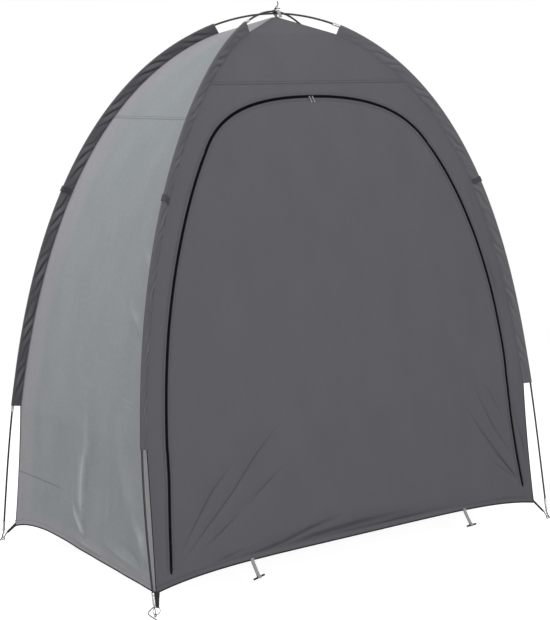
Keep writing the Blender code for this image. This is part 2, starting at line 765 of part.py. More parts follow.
def make_peg(name, corner, mat):
    points = peg_points(corner)
    bm = bmesh.new()
    rings = []
    for i, p in enumerate(points):
        ahead = (points[min(i + 1, len(points) - 1)] - points[max(i - 1, 0)]).normalized()
        level = ahead.cross(Vector((0, 0, 1))).normalized()
        rise = level.cross(ahead).normalized()
        rings.append(section((p, rise, level), circle(PEG_RADIUS / math.cos(math.pi / 6), 6, math.pi / 6)))
    add_loft(bm, rings)
    add_object(name, bm, mat)


# Webbing on the sleeves, at the door's hem and at the crossing

def make_guy_loop(name, corner, mat):
    """A band folded over the sleeve's round edge, open towards the seam, on one straight stretch of it."""
    angles = angles_between(SLEEVE_LOW, SLEEVE_HIGH)
    k = next(i for i, a in enumerate(angles) if a > GUY_LOOP_ANGLE)
    rings = []
    for angle in angles[k - 1:k + 1]:
        frame, distance = sleeve_frame(angle, corner)
        outside = sleeve_outline(distance - 0.006, 2 * GAP + GUY_LOOP_THICKNESS)
        within = sleeve_outline(distance - 0.006, 2 * GAP)
        rings.append(section(frame, outside + list(reversed(within))))
    length = (rings[1][6] - rings[0][6]).length
    share = GUY_LOOP_WIDTH / length / 2
    ends = [[p.lerp(q, f) for p, q in zip(*rings)] for f in (0.5 - share, 0.5 + share)]
    bm = bmesh.new()
    add_loft(bm, ends)
    add_object(name, bm, mat)


def make_toggle(name, u, mats):
    """A folded strap from the front hem, and the bar in its end."""
    root = FRONT.point(u, hem_height(FRONT, u) + 0.006, 2 * GAP + TOGGLE_STRAP_THICKNESS / 2)
    bar = Vector((u, root.y - TOGGLE_REACH, TOGGLE_BAR_HEIGHT))
    bend = Vector((u, root.y - 0.004, hem_height(FRONT, u) - 0.006))
    ahead = (bar - bend).normalized()
    end = bar - ahead * (TOGGLE_BAR_RADIUS + 2 * GAP)
    bm = bmesh.new()
    rings = []
    for frame in path_frames([root, bend, end], Vector((1, 0, 0))):
        half_t = TOGGLE_STRAP_THICKNESS / 2
        half_w = TOGGLE_STRAP_WIDTH / 2
        rings.append(section(frame, [(-half_t, -half_w), (half_t, -half_w), (half_t, half_w), (-half_t, half_w)]))
    add_loft(bm, rings)
    add_object("toggle_strap_" + name, bm, mats["grey_webbing"])
    bm = bmesh.new()
    half = Vector((TOGGLE_BAR_LENGTH / 2, 0, 0))
    add_bar(bm, [bar - half, bar + half], Vector((0, 0, 1)), TOGGLE_BAR_RADIUS, 8)
    add_object("toggle_bar_" + name, bm, mats["toggle"])


def rounded_loop(half_width, top, bottom, corner):
    """Points (y, z) of a rounded rectangle, three to a corner."""
    points = []
    for turn, (side_y, z) in enumerate(((1, top), (-1, top), (-1, bottom), (1, bottom))):
        middle_y = side_y * (half_width - corner)
        middle_z = z - corner if z == top else z + corner
        for i in range(3):
            angle = math.radians(90 * turn + 45 * i)
            points.append((middle_y + corner * math.cos(angle), middle_z + corner * math.sin(angle)))
    return points


def make_crown_tie(mats):
    """A tape loop around both poles where they cross, down to the crown, and its end left standing."""
    top = CROSSING_HEIGHT + 2 * POLE_RADIUS + GAP + TIE_SLACK
    bottom = CROWN.z + 2 * GAP
    outer = []
    inner = []
    for x in (TIE_PLACE - TIE_TAPE_WIDTH / 2, TIE_PLACE + TIE_TAPE_WIDTH / 2):
        wide = rounded_loop(TIE_HALF_WIDTH + TIE_TAPE_THICKNESS, top + TIE_TAPE_THICKNESS, bottom,
                            TIE_CORNER + TIE_TAPE_THICKNESS)
        narrow = rounded_loop(TIE_HALF_WIDTH, top, bottom + TIE_TAPE_THICKNESS, TIE_CORNER)
        outer.append([Vector((x, y, z)) for y, z in wide])
        inner.append([Vector((x, y, z)) for y, z in narrow])
    bm = bmesh.new()
    add_tube(bm, outer, inner)
    add_object("crown_tie", bm, mats["cord"])

    foot = top + TIE_TAPE_THICKNESS + GAP
    bm = bmesh.new()
    tail = [(0.0, 0.0), (0.0, 0.1), (0.005, 0.25), (0.010, 0.36), (0.012, 0.65), (0.010, 1.0)]
    tail_points = [Vector((TIE_PLACE + x, 0, foot + TIE_TAIL_HEIGHT * share)) for x, share in tail]
    add_bar(bm, tail_points, Vector((0, 1, 0)), TIE_TAIL_RADIUS)
    add_object("tie_tail", bm, mats["cord"])


def build():
    for obj in list(bpy.data.objects):
        bpy.data.objects.remove(obj)
    mats = make_materials()
    make_walls(mats)
    make_zip(mats)
    make_pole("pole_under", (-1, 1), mats["pole"])
    make_pole("pole_over", (-1, -1), mats["pole"])
    for name, corner in CORNERS.items():
        make_sleeve("sleeve_" + name, corner, mats["sleeve"])
        if name != "back_left":
            make_ferrule("ferrule_" + name, corner, SLEEVE_HIGH, UPPER_FERRULE_END, FERRULE_RADIUS, mats["steel"])
        make_tip("pole_tip_" + name, corner, mats["steel"])
        make_pin("pin_" + name, corner, mats["steel"])
        make_ring("ring_" + name, corner, mats["steel"])
        make_tab("corner_tab_" + name, corner, mats["webbing"])
        make_peg("peg_" + name, corner, mats["steel"])
        make_guy_loop("guy_loop_" + name, corner, mats["webbing"])
    make_ferrule("ferrule_low_back_left", CORNERS["back_left"], LOWER_FERRULE_END, SLEEVE_LOW - 0.0004,
                 FERRULE_RADIUS, mats["steel"])
    for name, place in TOGGLE_PLACES.items():
        make_toggle(name, place, mats)
    make_crown_tie(mats)


build()
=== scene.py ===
# Storage tent for bicycles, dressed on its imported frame. Metres, +Z up, the door faces -Y.
import json
import math
import random

import bmesh
import bpy
import numpy as np
from mathutils import Matrix, Vector

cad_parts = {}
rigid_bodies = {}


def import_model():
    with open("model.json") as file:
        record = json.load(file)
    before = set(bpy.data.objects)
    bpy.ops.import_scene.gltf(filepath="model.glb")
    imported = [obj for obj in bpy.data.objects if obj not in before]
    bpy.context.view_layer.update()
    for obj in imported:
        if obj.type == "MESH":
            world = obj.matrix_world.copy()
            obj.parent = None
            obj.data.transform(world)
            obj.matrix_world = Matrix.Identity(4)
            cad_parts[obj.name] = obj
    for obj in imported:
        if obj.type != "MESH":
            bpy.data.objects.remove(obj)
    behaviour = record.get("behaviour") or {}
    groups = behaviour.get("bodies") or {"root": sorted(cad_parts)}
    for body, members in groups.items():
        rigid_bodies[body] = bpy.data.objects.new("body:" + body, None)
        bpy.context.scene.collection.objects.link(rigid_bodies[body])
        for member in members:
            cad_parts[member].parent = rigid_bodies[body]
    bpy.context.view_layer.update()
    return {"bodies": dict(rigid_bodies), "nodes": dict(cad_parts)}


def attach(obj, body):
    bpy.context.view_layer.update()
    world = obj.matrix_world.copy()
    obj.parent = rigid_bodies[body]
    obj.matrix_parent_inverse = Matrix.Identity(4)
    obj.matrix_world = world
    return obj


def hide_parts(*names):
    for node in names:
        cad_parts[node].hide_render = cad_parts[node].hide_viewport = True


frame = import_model()

body = next(iter(frame["bodies"]))
print("frame loaded:", len(frame["nodes"]), "nodes on", body)

for leftOver in list(bpy.data.objects):
    if leftOver.name not in frame["nodes"] and leftOver not in frame["bodies"].values():
        bpy.data.objects.remove(leftOver)


# the tent's lines, as the frame has them

poleLine = dict(halfWidth=0.882, halfDepth=0.525, footHeight=0.0065, crossing=1.9065, curveX=(2.57, 1.93),
                curveY=(2.645, 1.863), hollow=0.728, planeShare=0.82, radius=0.0035, halfGap=0.00015,
                footAngle=1.2)
hipLine = dict(corner=(0.8510, 0.4815, 0.0612), crown=(0.010, 0.0046, 1.8895), sleeveLow=15.7,
               sleeveHigh=77.7, depthLow=0.0285, depthHigh=0.0345, depthRise=22.0, lowSteps=24, bow=0.0035)
hemLine = dict(front=0.096, side=0.0865, sway=0.012, power=5)
doorLine = dict(margin=0.070, marginLow=0.0065, marginRise=0.0038, spring=1.44, top=1.611, archSide=0.12,
                archTop=0.30, archSteps=49, sway=-0.026, flare={-1: 0.021, 1: 0.046}, flareHeight=0.42,
                zipFoot={-1: 0.123, 1: 0.144}, footShare=0.87,
                nudge={-1: (0.0035, 0.28, 0.16), 1: (-0.0075, 0.53, 0.075)})
seamHeights = dict(front=1.660, side=1.546)
corners = {"front_left": (-1, -1), "front_right": (1, -1), "back_left": (-1, 1), "back_right": (1, 1)}
upright = Vector((0, 0, 1))
fullTurn = 6.28      # the circle that ripples and creases are drawn with


def rounded(rise, curve):
    return max(0.0, 1 - rise ** curve[0]) ** (1 / curve[1])


def poleHeight(corner):
    # the pole from front left to back right lies over the other one
    lift = poleLine["radius"] + poleLine["halfGap"]
    return poleLine["crossing"] + (lift if corner[0] * corner[1] > 0 else -lift)


def legPoint(angle, corner, height=None):
    p = poleLine
    rise = math.sin(angle)
    height = height or poleHeight(corner)
    reachY = rounded(rise, p["curveY"]) - p["hollow"] * rise * (1 - rise)
    return Vector((corner[0] * p["halfWidth"] * rounded(rise, p["curveX"]),
                   corner[1] * p["halfDepth"] * reachY,
                   p["footHeight"] + (height - p["footHeight"]) * rise))


def legFrame(angle, corner, height=None):
    # centre of the pole, the way out of the tent, and the way across the leg
    p = poleLine
    flat = Vector((corner[0] * p["halfWidth"], corner[1] * p["halfDepth"] * p["planeShare"], 0)).normalized()
    across = flat.cross(upright)
    step = 0.002
    if angle + step >= math.pi / 2:
        along = -flat
    else:
        before, after = (legPoint(max(angle + d, 0), corner, height) for d in (-step, step))
        along = (after - before).normalized()
    across = (across - along * across.dot(along)).normalized()
    outward = along.cross(across)
    if outward.dot(flat + upright) < 0:
        outward.negate()
    return legPoint(angle, corner, height), outward, across


def seamPoint(angle):
    h = hipLine
    centre, outward, _ = legFrame(angle, (1, 1), poleLine["crossing"])
    share = min(1.0, (angle - math.radians(h["sleeveLow"])) / math.radians(h["depthRise"]))
    return centre - outward * (h["depthLow"] + (h["depthHigh"] - h["depthLow"]) * share)


def hipRows(steps=90, topSteps=8):
    # the hip seam in the corner where x and y are positive, from the lower corner to the crown
    h = hipLine
    low, high = math.radians(h["sleeveLow"]), math.radians(h["sleeveHigh"])
    sleeve = [seamPoint(low + (high - low) * i / steps) for i in range(steps + 1)]
    corner, crown = Vector(h["corner"]), Vector(h["crown"])
    rows = []
    for i in range(h["lowSteps"]):
        share = i / h["lowSteps"]
        dip = h["bow"] * 4 * share * (1 - share) * 0.7
        rows.append(corner.lerp(sleeve[0], share) - Vector((dip, dip, 0)))
    rows += sleeve
    rows += [sleeve[-1].lerp(crown, (i + 1) / topSteps) for i in range(topSteps)]
    return np.array([tuple(p) for p in rows])


rows = hipRows()
rowZ = rows[:, 2]


class Wall:
    # one face of the tent, unrolled: u runs along it, s up it, both in metres
    def __init__(self, across, side, seed, ripple):
        self.across, self.depth, self.side = across, 1 - across, side
        self.seed, self.ripple, self.folds = seed, ripple, []
        run = np.hypot(np.diff(rows[:, self.depth]), np.diff(rowZ))
        self.arc = np.concatenate([[0.0], np.cumsum(run)])
        slope = np.gradient(rows[:, self.depth], rowZ)
        slope = np.convolve(np.pad(slope, 3, mode="edge"), np.ones(7) / 7, mode="valid")
        size = np.sqrt(1 + slope ** 2)
        self.out, self.rise = 1 / size, -slope / size

    def toS(self, z):
        return np.interp(z, rowZ, self.arc)

    def toZ(self, s):
        return np.interp(s, self.arc, rowZ)

    def hip(self, s):
        return np.interp(s, self.arc, rows[:, self.across])

    def place(self, u, s, lift=0.0):
        # lift is the distance in front of the wall
        u, s = np.broadcast_arrays(np.asarray(u, float), np.asarray(s, float))
        found = np.zeros(u.shape + (3,))
        depth = np.interp(s, self.arc, rows[:, self.depth]) + np.interp(s, self.arc, self.out) * lift
        found[..., self.across] = u
        found[..., self.depth] = depth * self.side
        found[..., 2] = self.toZ(s) + np.minimum(s, 0.0) + np.interp(s, self.arc, self.rise) * lift
        return found

    def outward(self, s):
        s = np.asarray(s, float)
        found = np.zeros(s.shape + (3,))
        found[..., self.depth] = np.interp(s, self.arc, self.out) * self.side
        found[..., 2] = np.interp(s, self.arc, self.rise)
        return found

    def hem(self, share):
        # where the lower edge lies, with share from -1 to 1 along the wall
        h = hemLine
        middle, sway = (h["front"], 0.0) if self.across == 0 else (h["side"], h["sway"])
        low = hipLine["corner"][2]
        share = np.clip(share, -1, 1)
        z = middle - (middle - low) * np.abs(share) ** h["power"] + sway * np.sin(np.pi * share)
        if sway:
            z = np.where(share < 0, low + (middle - low) * (1 + share), z)
        return self.toS(np.maximum(z, low))


# each wall's seed and the height of its ripples
front, back = Wall(0, -1, 11, 0.0008), Wall(0, 1, 8, 0.0014)
left, right = Wall(1, -1, 3, 0.0016), Wall(1, 1, 5, 0.0018)


def lineNormals(line):
    # the way to the left of each point of a flat line
    along = np.gradient(line, axis=0)
    along /= np.linalg.norm(along, axis=1)[:, None]
    return np.stack([-along[:, 1], along[:, 0]], axis=1)


def even(line, count):
    # the same flat line with this many points, equally far apart
    run = np.concatenate([[0], np.cumsum(np.linalg.norm(np.diff(line, axis=0), axis=1))])
    at = np.linspace(0, run[-1], count)
    return np.stack([np.interp(at, run, line[:, k]) for k in (0, 1)], axis=1)


def doorHalf(z):
    d = doorLine
    low = d["marginLow"] * np.clip((0.88 - z) / 0.4, 0, 1)
    return np.interp(z, rowZ, rows[:, 0]) - d["margin"] - low - d["marginRise"] * z ** 6


def doorEdge(side, low, inset=0.0, count=90, closes=False):
    # one edge of the doorway as (u, s), from height low to the middle of its arch
    # where it closes, both edges meet below the foot of the zip
    d = doorLine
    points = [(doorHalf(z), z) for z in np.linspace(low, d["spring"], count, endpoint=False)]
    spring, below = (Vector((doorHalf(z), z)) for z in (d["spring"], d["spring"] - 0.05))
    a, b = spring, spring + (spring - below).normalized() * d["archSide"]
    c, e = Vector((d["archTop"], d["top"])), Vector((0, d["top"]))
    for f in np.linspace(0, 1, d["archSteps"]):
        g = 1 - f
        points.append(tuple(a * g ** 3 + b * 3 * f * g ** 2 + c * 3 * f * f * g + e * f ** 3))
    half, z = np.array(points).T
    amount, height, reach = d["nudge"][side]
    half = half + d["flare"][side] * np.maximum(0, 1 - z / d["flareHeight"]) ** 1.2
    half = half + amount * np.exp(-((z - height) / reach) ** 2)
    line = np.stack([side * half + d["sway"] * (z / d["top"]) ** 6, front.toS(z)], axis=1)
    inward = lineNormals(line) * side
    inward[-1] = (0, -1)
    if closes:
        inset = inset * np.clip((z - d["zipFoot"][side] + 0.004) / 0.008, 0.03, 1)[:, None]
    return line + inward * inset


def doorLoop():
    # left foot, up, over the arch and down to the right foot
    foot = doorLine["zipFoot"]
    return np.concatenate([doorEdge(-1, foot[-1]), doorEdge(1, foot[1])[-2::-1]])


# materials

def feed(tree, node, sockets):
    # a socket takes a value, or another node's output
    for name, value in sockets.items():
        socket = node.inputs[name]
        if hasattr(value, "links"):
            tree.links.new(value, socket)
        else:
            socket.default_value = (*value, 1) if socket.type == "RGBA" else value
    return node


def nodeOf(tree, kind, sockets=None, **settings):
    node = tree.nodes.new(kind)
    for name, value in settings.items():
        setattr(node, name, value)
    return feed(tree, node, sockets or {})


def mathOf(tree, operation, *values, clamp=False):
    node = nodeOf(tree, "ShaderNodeMath", dict(enumerate(values)), operation=operation, use_clamp=clamp)
    return node.outputs[0]


def vectorOf(tree, operation, *values):
    node = nodeOf(tree, "ShaderNodeVectorMath", dict(enumerate(values)), operation=operation)
    return node.outputs["Vector" if operation == "SUBTRACT" else "Value"]


def ranged(tree, value, low, high, more=None, **settings):
    sockets = {"Value": value, "To Min": low, "To Max": high, **(more or {})}
    return nodeOf(tree, "ShaderNodeMapRange", sockets, **settings).outputs["Result"]


def newInputs(tree, kind, **labels):
    # named inputs of one kind, each with its first value
    for label, value in labels.items():
        socket = tree.interface.new_socket(label, in_out="INPUT", socket_type="NodeSocket" + kind)
        if value is not None:
            socket.default_value = value


def plainMaterial(name, color, roughness, metallic=0.0, gloss=0.5):
    mat = bpy.data.materials.new(name)
    mat.use_nodes = True
    tree = mat.node_tree
    shader = feed(tree, tree.nodes["Principled BSDF"], {
        "Base Color": color, "Roughness": roughness, "Metallic": metallic, "Specular IOR Level": gloss})
    return mat, tree, shader


def linear(red, green, blue):
    # a screen colour, 0 to 255, as the shader wants it
    return tuple(((c / 255 + 0.055) / 1.055) ** 2.4 if c > 10 else c / 3295 for c in (red, green, blue))


def shade(color, share):
    return tuple(min(1, c * share) for c in color)


def onCloth(tree):
    return nodeOf(tree, "ShaderNodeUVMap", uv_map="cloth").outputs["UV"]


def onObject(tree):
    return nodeOf(tree, "ShaderNodeTexCoord").outputs["Object"]


def valueOf(tree, name):
    return nodeOf(tree, "ShaderNodeAttribute", attribute_name=name).outputs["Fac"]


def mixColor(tree, factor, a, b, blend="MIX"):
    node = nodeOf(tree, "ShaderNodeMix", {0: factor, 6: a, 7: b}, data_type="RGBA", blend_type=blend)
    return node.outputs[2]


def ramp(tree, source, *stops):
    node = nodeOf(tree, "ShaderNodeValToRGB", {"Fac": source})
    for element, (place, value) in zip(node.color_ramp.elements, stops):
        element.position = place
        element.color = (value, value, value, 1)
    return node.outputs["Color"]


def noise(tree, vector, scale, detail=3.0, rough=0.5):
    sockets = {"Scale": scale, "Detail": detail, "Roughness": rough, "Vector": vector}
    return nodeOf(tree, "ShaderNodeTexNoise", sockets).outputs["Fac"]


def scaled(tree, vector, scale):
    return nodeOf(tree, "ShaderNodeMapping", {"Scale": scale, "Vector": vector}).outputs["Vector"]


def threads(tree, vector, pitch):
    # a plain weave: two sets of threads, bright where they lie on top
    sockets = {"Scale": 0.314 / pitch, "Distortion": 0.6, "Detail": 1.0, "Vector": vector}
    sets = [nodeOf(tree, "ShaderNodeTexWave", sockets, bands_direction=way).outputs["Fac"] for way in "XY"]
    return mathOf(tree, "MULTIPLY", *sets)


def bumped(tree, node, height, strength, distance):
    bump = nodeOf(tree, "ShaderNodeBump", {"Strength": strength, "Distance": distance, "Height": height})
    tree.links.new(bump.outputs["Normal"], node.inputs["Normal"])
    return bump


# creases painted on the cloth: width, shade (painted shade below 0, painted highlight above), (u, z) points,
# and how strong the first point is
paintedCreasesFront = [
    (0.006, -0.44, ((-0.745, 0.17), (-0.678, 0.252), (-0.606, 0.343), (-0.514, 0.427))),
    (0.006, -0.44, ((-0.741, 0.141), (-0.63, 0.236), (-0.524, 0.328), (-0.415, 0.442), (-0.326, 0.518))),
    (0.0055, -0.53, ((-0.651, 0.168), (-0.501, 0.256))),
    (0.0055, -0.46, ((-0.474, 0.275), (-0.307, 0.388))),
    (0.007, -0.39, ((0.538, 0.468), (0.62, 0.357), (0.757, 0.188), (0.784, 0.158))),
    (0.0075, -0.35, ((0.578, 0.561), (0.673, 0.376), (0.774, 0.242))),
    (0.007, -0.28, ((0.626, 0.557), (0.726, 0.407))),
    (0.007, -0.35, ((0.618, 0.339), (0.779, 0.168))),
    (0.0065, -0.28, ((0.636, 0.263), (0.779, 0.158))),
    (0.007, -0.39, ((0.771, 0.483), (0.819, 0.291), (0.826, 0.225))),
    (0.008, -0.35, ((-0.63, 0.112), (-0.494, 0.137))),
    (0.012, -0.53, ((-0.596, 0.104), (-0.448, 0.112), (-0.324, 0.131), (-0.217, 0.156), (-0.064, 0.18))),
    (0.014, -0.6, ((-0.356, 0.112), (-0.198, 0.128), (-0.004, 0.137), (0.249, 0.139))),
    (0.013, -0.6, ((-0.327, 0.106), (-0.072, 0.106), (0.198, 0.11), (0.482, 0.106))),
    (0.012, -0.46, ((0.558, 0.108), (0.811, 0.088))),
    (0.008, -0.16, ((0.64, 1.3), (0.674, 1.15))),
    (0.007, -0.12, ((0.66, 1.18), (0.7, 1.06))),
    (0.0075, -0.26, ((0.7, 1.02), (0.744, 0.88))),
    (0.007, -0.2, ((0.716, 0.99), (0.754, 0.81))),
    (0.007, -0.2, ((0.738, 0.84), (0.77, 0.7))),
    (0.024, -0.5, ((-0.34, 0.098), (-0.06, 0.11), (0.2, 0.114), (0.48, 0.102))),
]
paintedCreasesLeft = [
    (0.042, 0.62, ((-0.022, 0.43), (-0.017, 0.37), (-0.006, 0.31), (-0.003, 0.258), (-0.004, 0.195))),
    (0.04, 0.22, ((-0.058, 0.56), (-0.052, 0.47), (-0.036, 0.385))),
    (0.005, -0.26, ((-0.03, 0.26), (-0.018, 0.232))),
    (0.0045, -0.22, ((-0.016, 0.238), (-0.006, 0.212))),
    (0.019, 0.67, ((0.048, 0.24), (0.034, 0.205), (0.011, 0.174), (-0.012, 0.155), (-0.015, 0.135))),
    (0.0045, 0.32, ((0.02, 0.15), (-0.004, 0.128), (-0.04, 0.112))),
    (0.0055, 0.38, ((0.044, 0.125), (-0.016, 0.113), (-0.138, 0.102))),
    (0.0035, 0.38, ((-0.184, 0.291), (-0.179, 0.232))),
    (0.06, 0.2, ((-0.29, 0.46), (-0.32, 0.345), (-0.353, 0.285))),
    (0.033, 0.48, ((-0.345, 0.265), (-0.389, 0.215), (-0.419, 0.143))),
    (0.009, 0.26, ((-0.157, 0.149), (-0.257, 0.131), (-0.389, 0.112))),
    (0.007, -0.19, ((-0.3, 0.18), (-0.36, 0.14), (-0.4, 0.112))),
    (0.011, 0.16, ((0.259, 0.262), (0.264, 0.225))),
    (0.005, 0.16, ((-0.25, 0.652), (-0.33, 0.648))),
    (0.005, 0.16, ((-0.258, 0.632), (-0.338, 0.63))),
    (0.024, 0.24, ((-0.262, 1.129), (-0.323, 1.077))),
    (0.026, 0.28, ((-0.249, 0.946), (-0.33, 0.882))),
    (0.007, -0.13, ((-0.275, 0.905), (-0.345, 0.83))),
    (0.0045, -0.36, ((0.482, 0.272), (0.34, 0.274), (0.22, 0.274), (0.11, 0.272)), 1.0),
]
# the two crease colours below are painted shade and painted highlight along the creases
clothLook = dict(charcoal=linear(98, 97, 102), grey=linear(154, 159, 161), greyMargin=linear(166, 164, 169),
                 sleeve=linear(104, 103, 108), weavePitch=0.00045, roughness=0.82, gloss=0.28, sheen=0.08,
                 sheenRoughness=0.45, paintedCreaseShade=(0.030, 0.030, 0.034), paintedCreaseHighlight=(0.56, 0.60, 0.61),
                 creaseEnd=0.1, weaveBump=(0.35, 0.00012), crumple=0.35, greyCrumple=0.6, crumpleDepth=0.0012)


def creaseGroup():
    # the mask of one straight stretch of a painted crease: full strength along its middle, nothing a width
    # away
    tree = bpy.data.node_groups.new("creaseStretch", "ShaderNodeTree")
    newInputs(tree, "Vector", Place=None, From=None, Along=None)
    newInputs(tree, "Float", Width=None, Start=None, End=None)
    tree.interface.new_socket("Mask", in_out="OUTPUT", socket_type="NodeSocketFloat")
    given, end = nodeOf(tree, "NodeGroupInput").outputs, nodeOf(tree, "NodeGroupOutput")
    # the nodes are made in the order in which they are worked out
    along = given["Along"]
    away = vectorOf(tree, "SUBTRACT", given["Place"], given["From"])
    reach = vectorOf(tree, "DOT_PRODUCT", away, along)
    square = vectorOf(tree, "DOT_PRODUCT", along, along)
    share = mathOf(tree, "DIVIDE", reach, square, clamp=True)
    on = nodeOf(tree, "ShaderNodeVectorMath", {0: along, "Scale": share}, operation="SCALE")
    gap = vectorOf(tree, "DISTANCE", away, on.outputs["Vector"])
    near = ranged(tree, gap, 1.0, 0.0, {"From Max": given["Width"]}, interpolation_type="SMOOTHSTEP")
    fade = ranged(tree, share, given["Start"], given["End"])
    feed(tree, end, {"Mask": mathOf(tree, "MULTIPLY", near, fade)})
    return tree


creaseStretch = creaseGroup()


def creaseShade(tree, uv, wall, creases):
    # how much painted shade and painted highlight the creases lay on the cloth
    dark, light = 0.0, 0.0
    for width, tone, line, *start in creases:
        points = [Vector((u, float(wall.toS(z)), 0)) for u, z in line]
        if len(points) == 2:
            points.insert(1, points[0].lerp(points[1], 0.5))
        strengths = [*(start or [clothLook["creaseEnd"]]), *[1.0] * (len(points) - 2), clothLook["creaseEnd"]]
        mask = None
        for a, b, fromValue, toValue in zip(points, points[1:], strengths, strengths[1:]):
            stretch = nodeOf(tree, "ShaderNodeGroup", node_tree=creaseStretch)
            feed(tree, stretch, {"Place": uv, "From": a, "Along": b - a, "Width": width, "Start": fromValue,
                                 "End": toValue})
            found = stretch.outputs["Mask"]
            mask = found if mask is None else mathOf(tree, "MAXIMUM", mask, found)
        if tone < 0:
            dark = mathOf(tree, "MULTIPLY_ADD", mask, -tone, dark, clamp=True)
        else:
            light = mathOf(tree, "MULTIPLY_ADD", mask, tone, light, clamp=True)
    return dark, light


def clothMaterial(name, color, mottle, spread=0.0, margin=None, wall=None, creases=(), crease=False):
    look = clothLook
    mat, tree, shader = plainMaterial(name, color, look["roughness"], gloss=look["gloss"])
    uv = onCloth(tree)
    base = color
    if margin is not None:
        base = mixColor(tree, valueOf(tree, "margin"), color, margin)
    fine = noise(tree, scaled(tree, uv, (1, 1, 1)), 420.0, 2.0, 0.7)
    broad = noise(tree, scaled(tree, uv, (1.0, 0.45, 1)), 9.0, 4.0, 0.55)
    streak = noise(tree, scaled(tree, uv, (60.0, 1.6, 1)), 1.0, 2.0, 0.5)
    cloudy = noise(tree, uv, 70.0, 3.0, 0.65)
    shades = [ramp(tree, broad, (0.30, 1 - mottle), (0.70, 1 + mottle * 0.4)),
              ramp(tree, fine, (0.25, 0.93), (0.75, 1.0)),
              ramp(tree, cloudy, (0.32, 0.955 if margin is None else 0.935), (0.68, 1.0)),
              ramp(tree, streak, (0.25, 1 - spread), (0.75, 1.0))]
    # creases: painted shade along the dark ones, painted highlight along the light ones
    if creases:
        dark, light = creaseShade(tree, uv, wall, creases)
        base = mixColor(tree, dark, base, look["paintedCreaseShade"])
        base = mixColor(tree, light, base, look["paintedCreaseHighlight"])
    # the sleeve's crease value: painted shade in the valleys, painted highlight on the ridges, and each
    # sleeve painted darker or lighter as a whole
    if crease:
        shades.append(mathOf(tree, "ADD", valueOf(tree, "crease"), 1.0))
    for value in shades:
        base = mixColor(tree, 1.0, base, value, "MULTIPLY")
    feed(tree, shader, {"Base Color": base, "Sheen Weight": look["sheen"],
                        "Sheen Roughness": look["sheenRoughness"]})
    weave = bumped(tree, shader, threads(tree, uv, look["weavePitch"]), *look["weaveBump"])
    crumple = noise(tree, scaled(tree, uv, (1, 0.6, 1)), 34.0, 3.0, 0.6)
    bumped(tree, weave, crumple, look["crumple" if margin is None else "greyCrumple"], look["crumpleDepth"])
    return mat


def webbingMaterial(name, color, gloss=0.4):
    mat, tree, shader = plainMaterial(name, color, 0.85, gloss=gloss)
    weave = threads(tree, onCloth(tree), 0.0011)
    feed(tree, shader, {"Base Color": mixColor(tree, weave, shade(color, 0.6), shade(color, 1.25))})
    bumped(tree, shader, weave, 0.8, 0.0003)
    return mat


def threadMaterial(name, color):
    mat, tree, shader = plainMaterial(name, color, 0.7)
    tint = noise(tree, onObject(tree), 900.0)
    feed(tree, shader, {"Base Color": mixColor(tree, tint, shade(color, 0.7), color)})
    return mat


def rodMaterial(name, color):
    # wound glass fibre: a dark, slightly glossy rod with fine streaks
    mat, tree, shader = plainMaterial(name, color, 0.38)
    streaks = noise(tree, scaled(tree, onObject(tree), (900, 900, 60)), 1.0, 4.0, 0.6)
    feed(tree, shader, {"Base Color": mixColor(tree, streaks, shade(color, 0.75), shade(color, 1.3)),
                        "Roughness": ramp(tree, streaks, (0.2, 0.32), (0.8, 0.5))})
    bumped(tree, shader, streaks, 0.25, 0.0002)
    return mat


def steelMaterial(name, color, roughness):
    mat, tree, shader = plainMaterial(name, color, roughness, 1.0)
    where = onObject(tree)
    marks = noise(tree, scaled(tree, where, (500, 500, 90)), 1.0, 5.0, 0.65)
    feed(tree, shader, {"Roughness": ramp(tree, marks, (0.25, roughness * 0.7), (0.8, roughness * 1.5)),
                        "Base Color": mixColor(tree, noise(tree, where, 160.0), shade(color, 0.82), color)})
    bumped(tree, shader, marks, 0.15, 0.0002)
    return mat


def plasticMaterial(name, color, roughness, gloss=0.5):
    mat, tree, shader = plainMaterial(name, color, roughness, gloss=gloss)
    grain = noise(tree, onObject(tree), 1400.0, 2.0)
    feed(tree, shader, {"Base Color": mixColor(tree, grain, color, shade(color, 1.6))})
    bumped(tree, shader, grain, 0.3, 0.0001)
    return mat


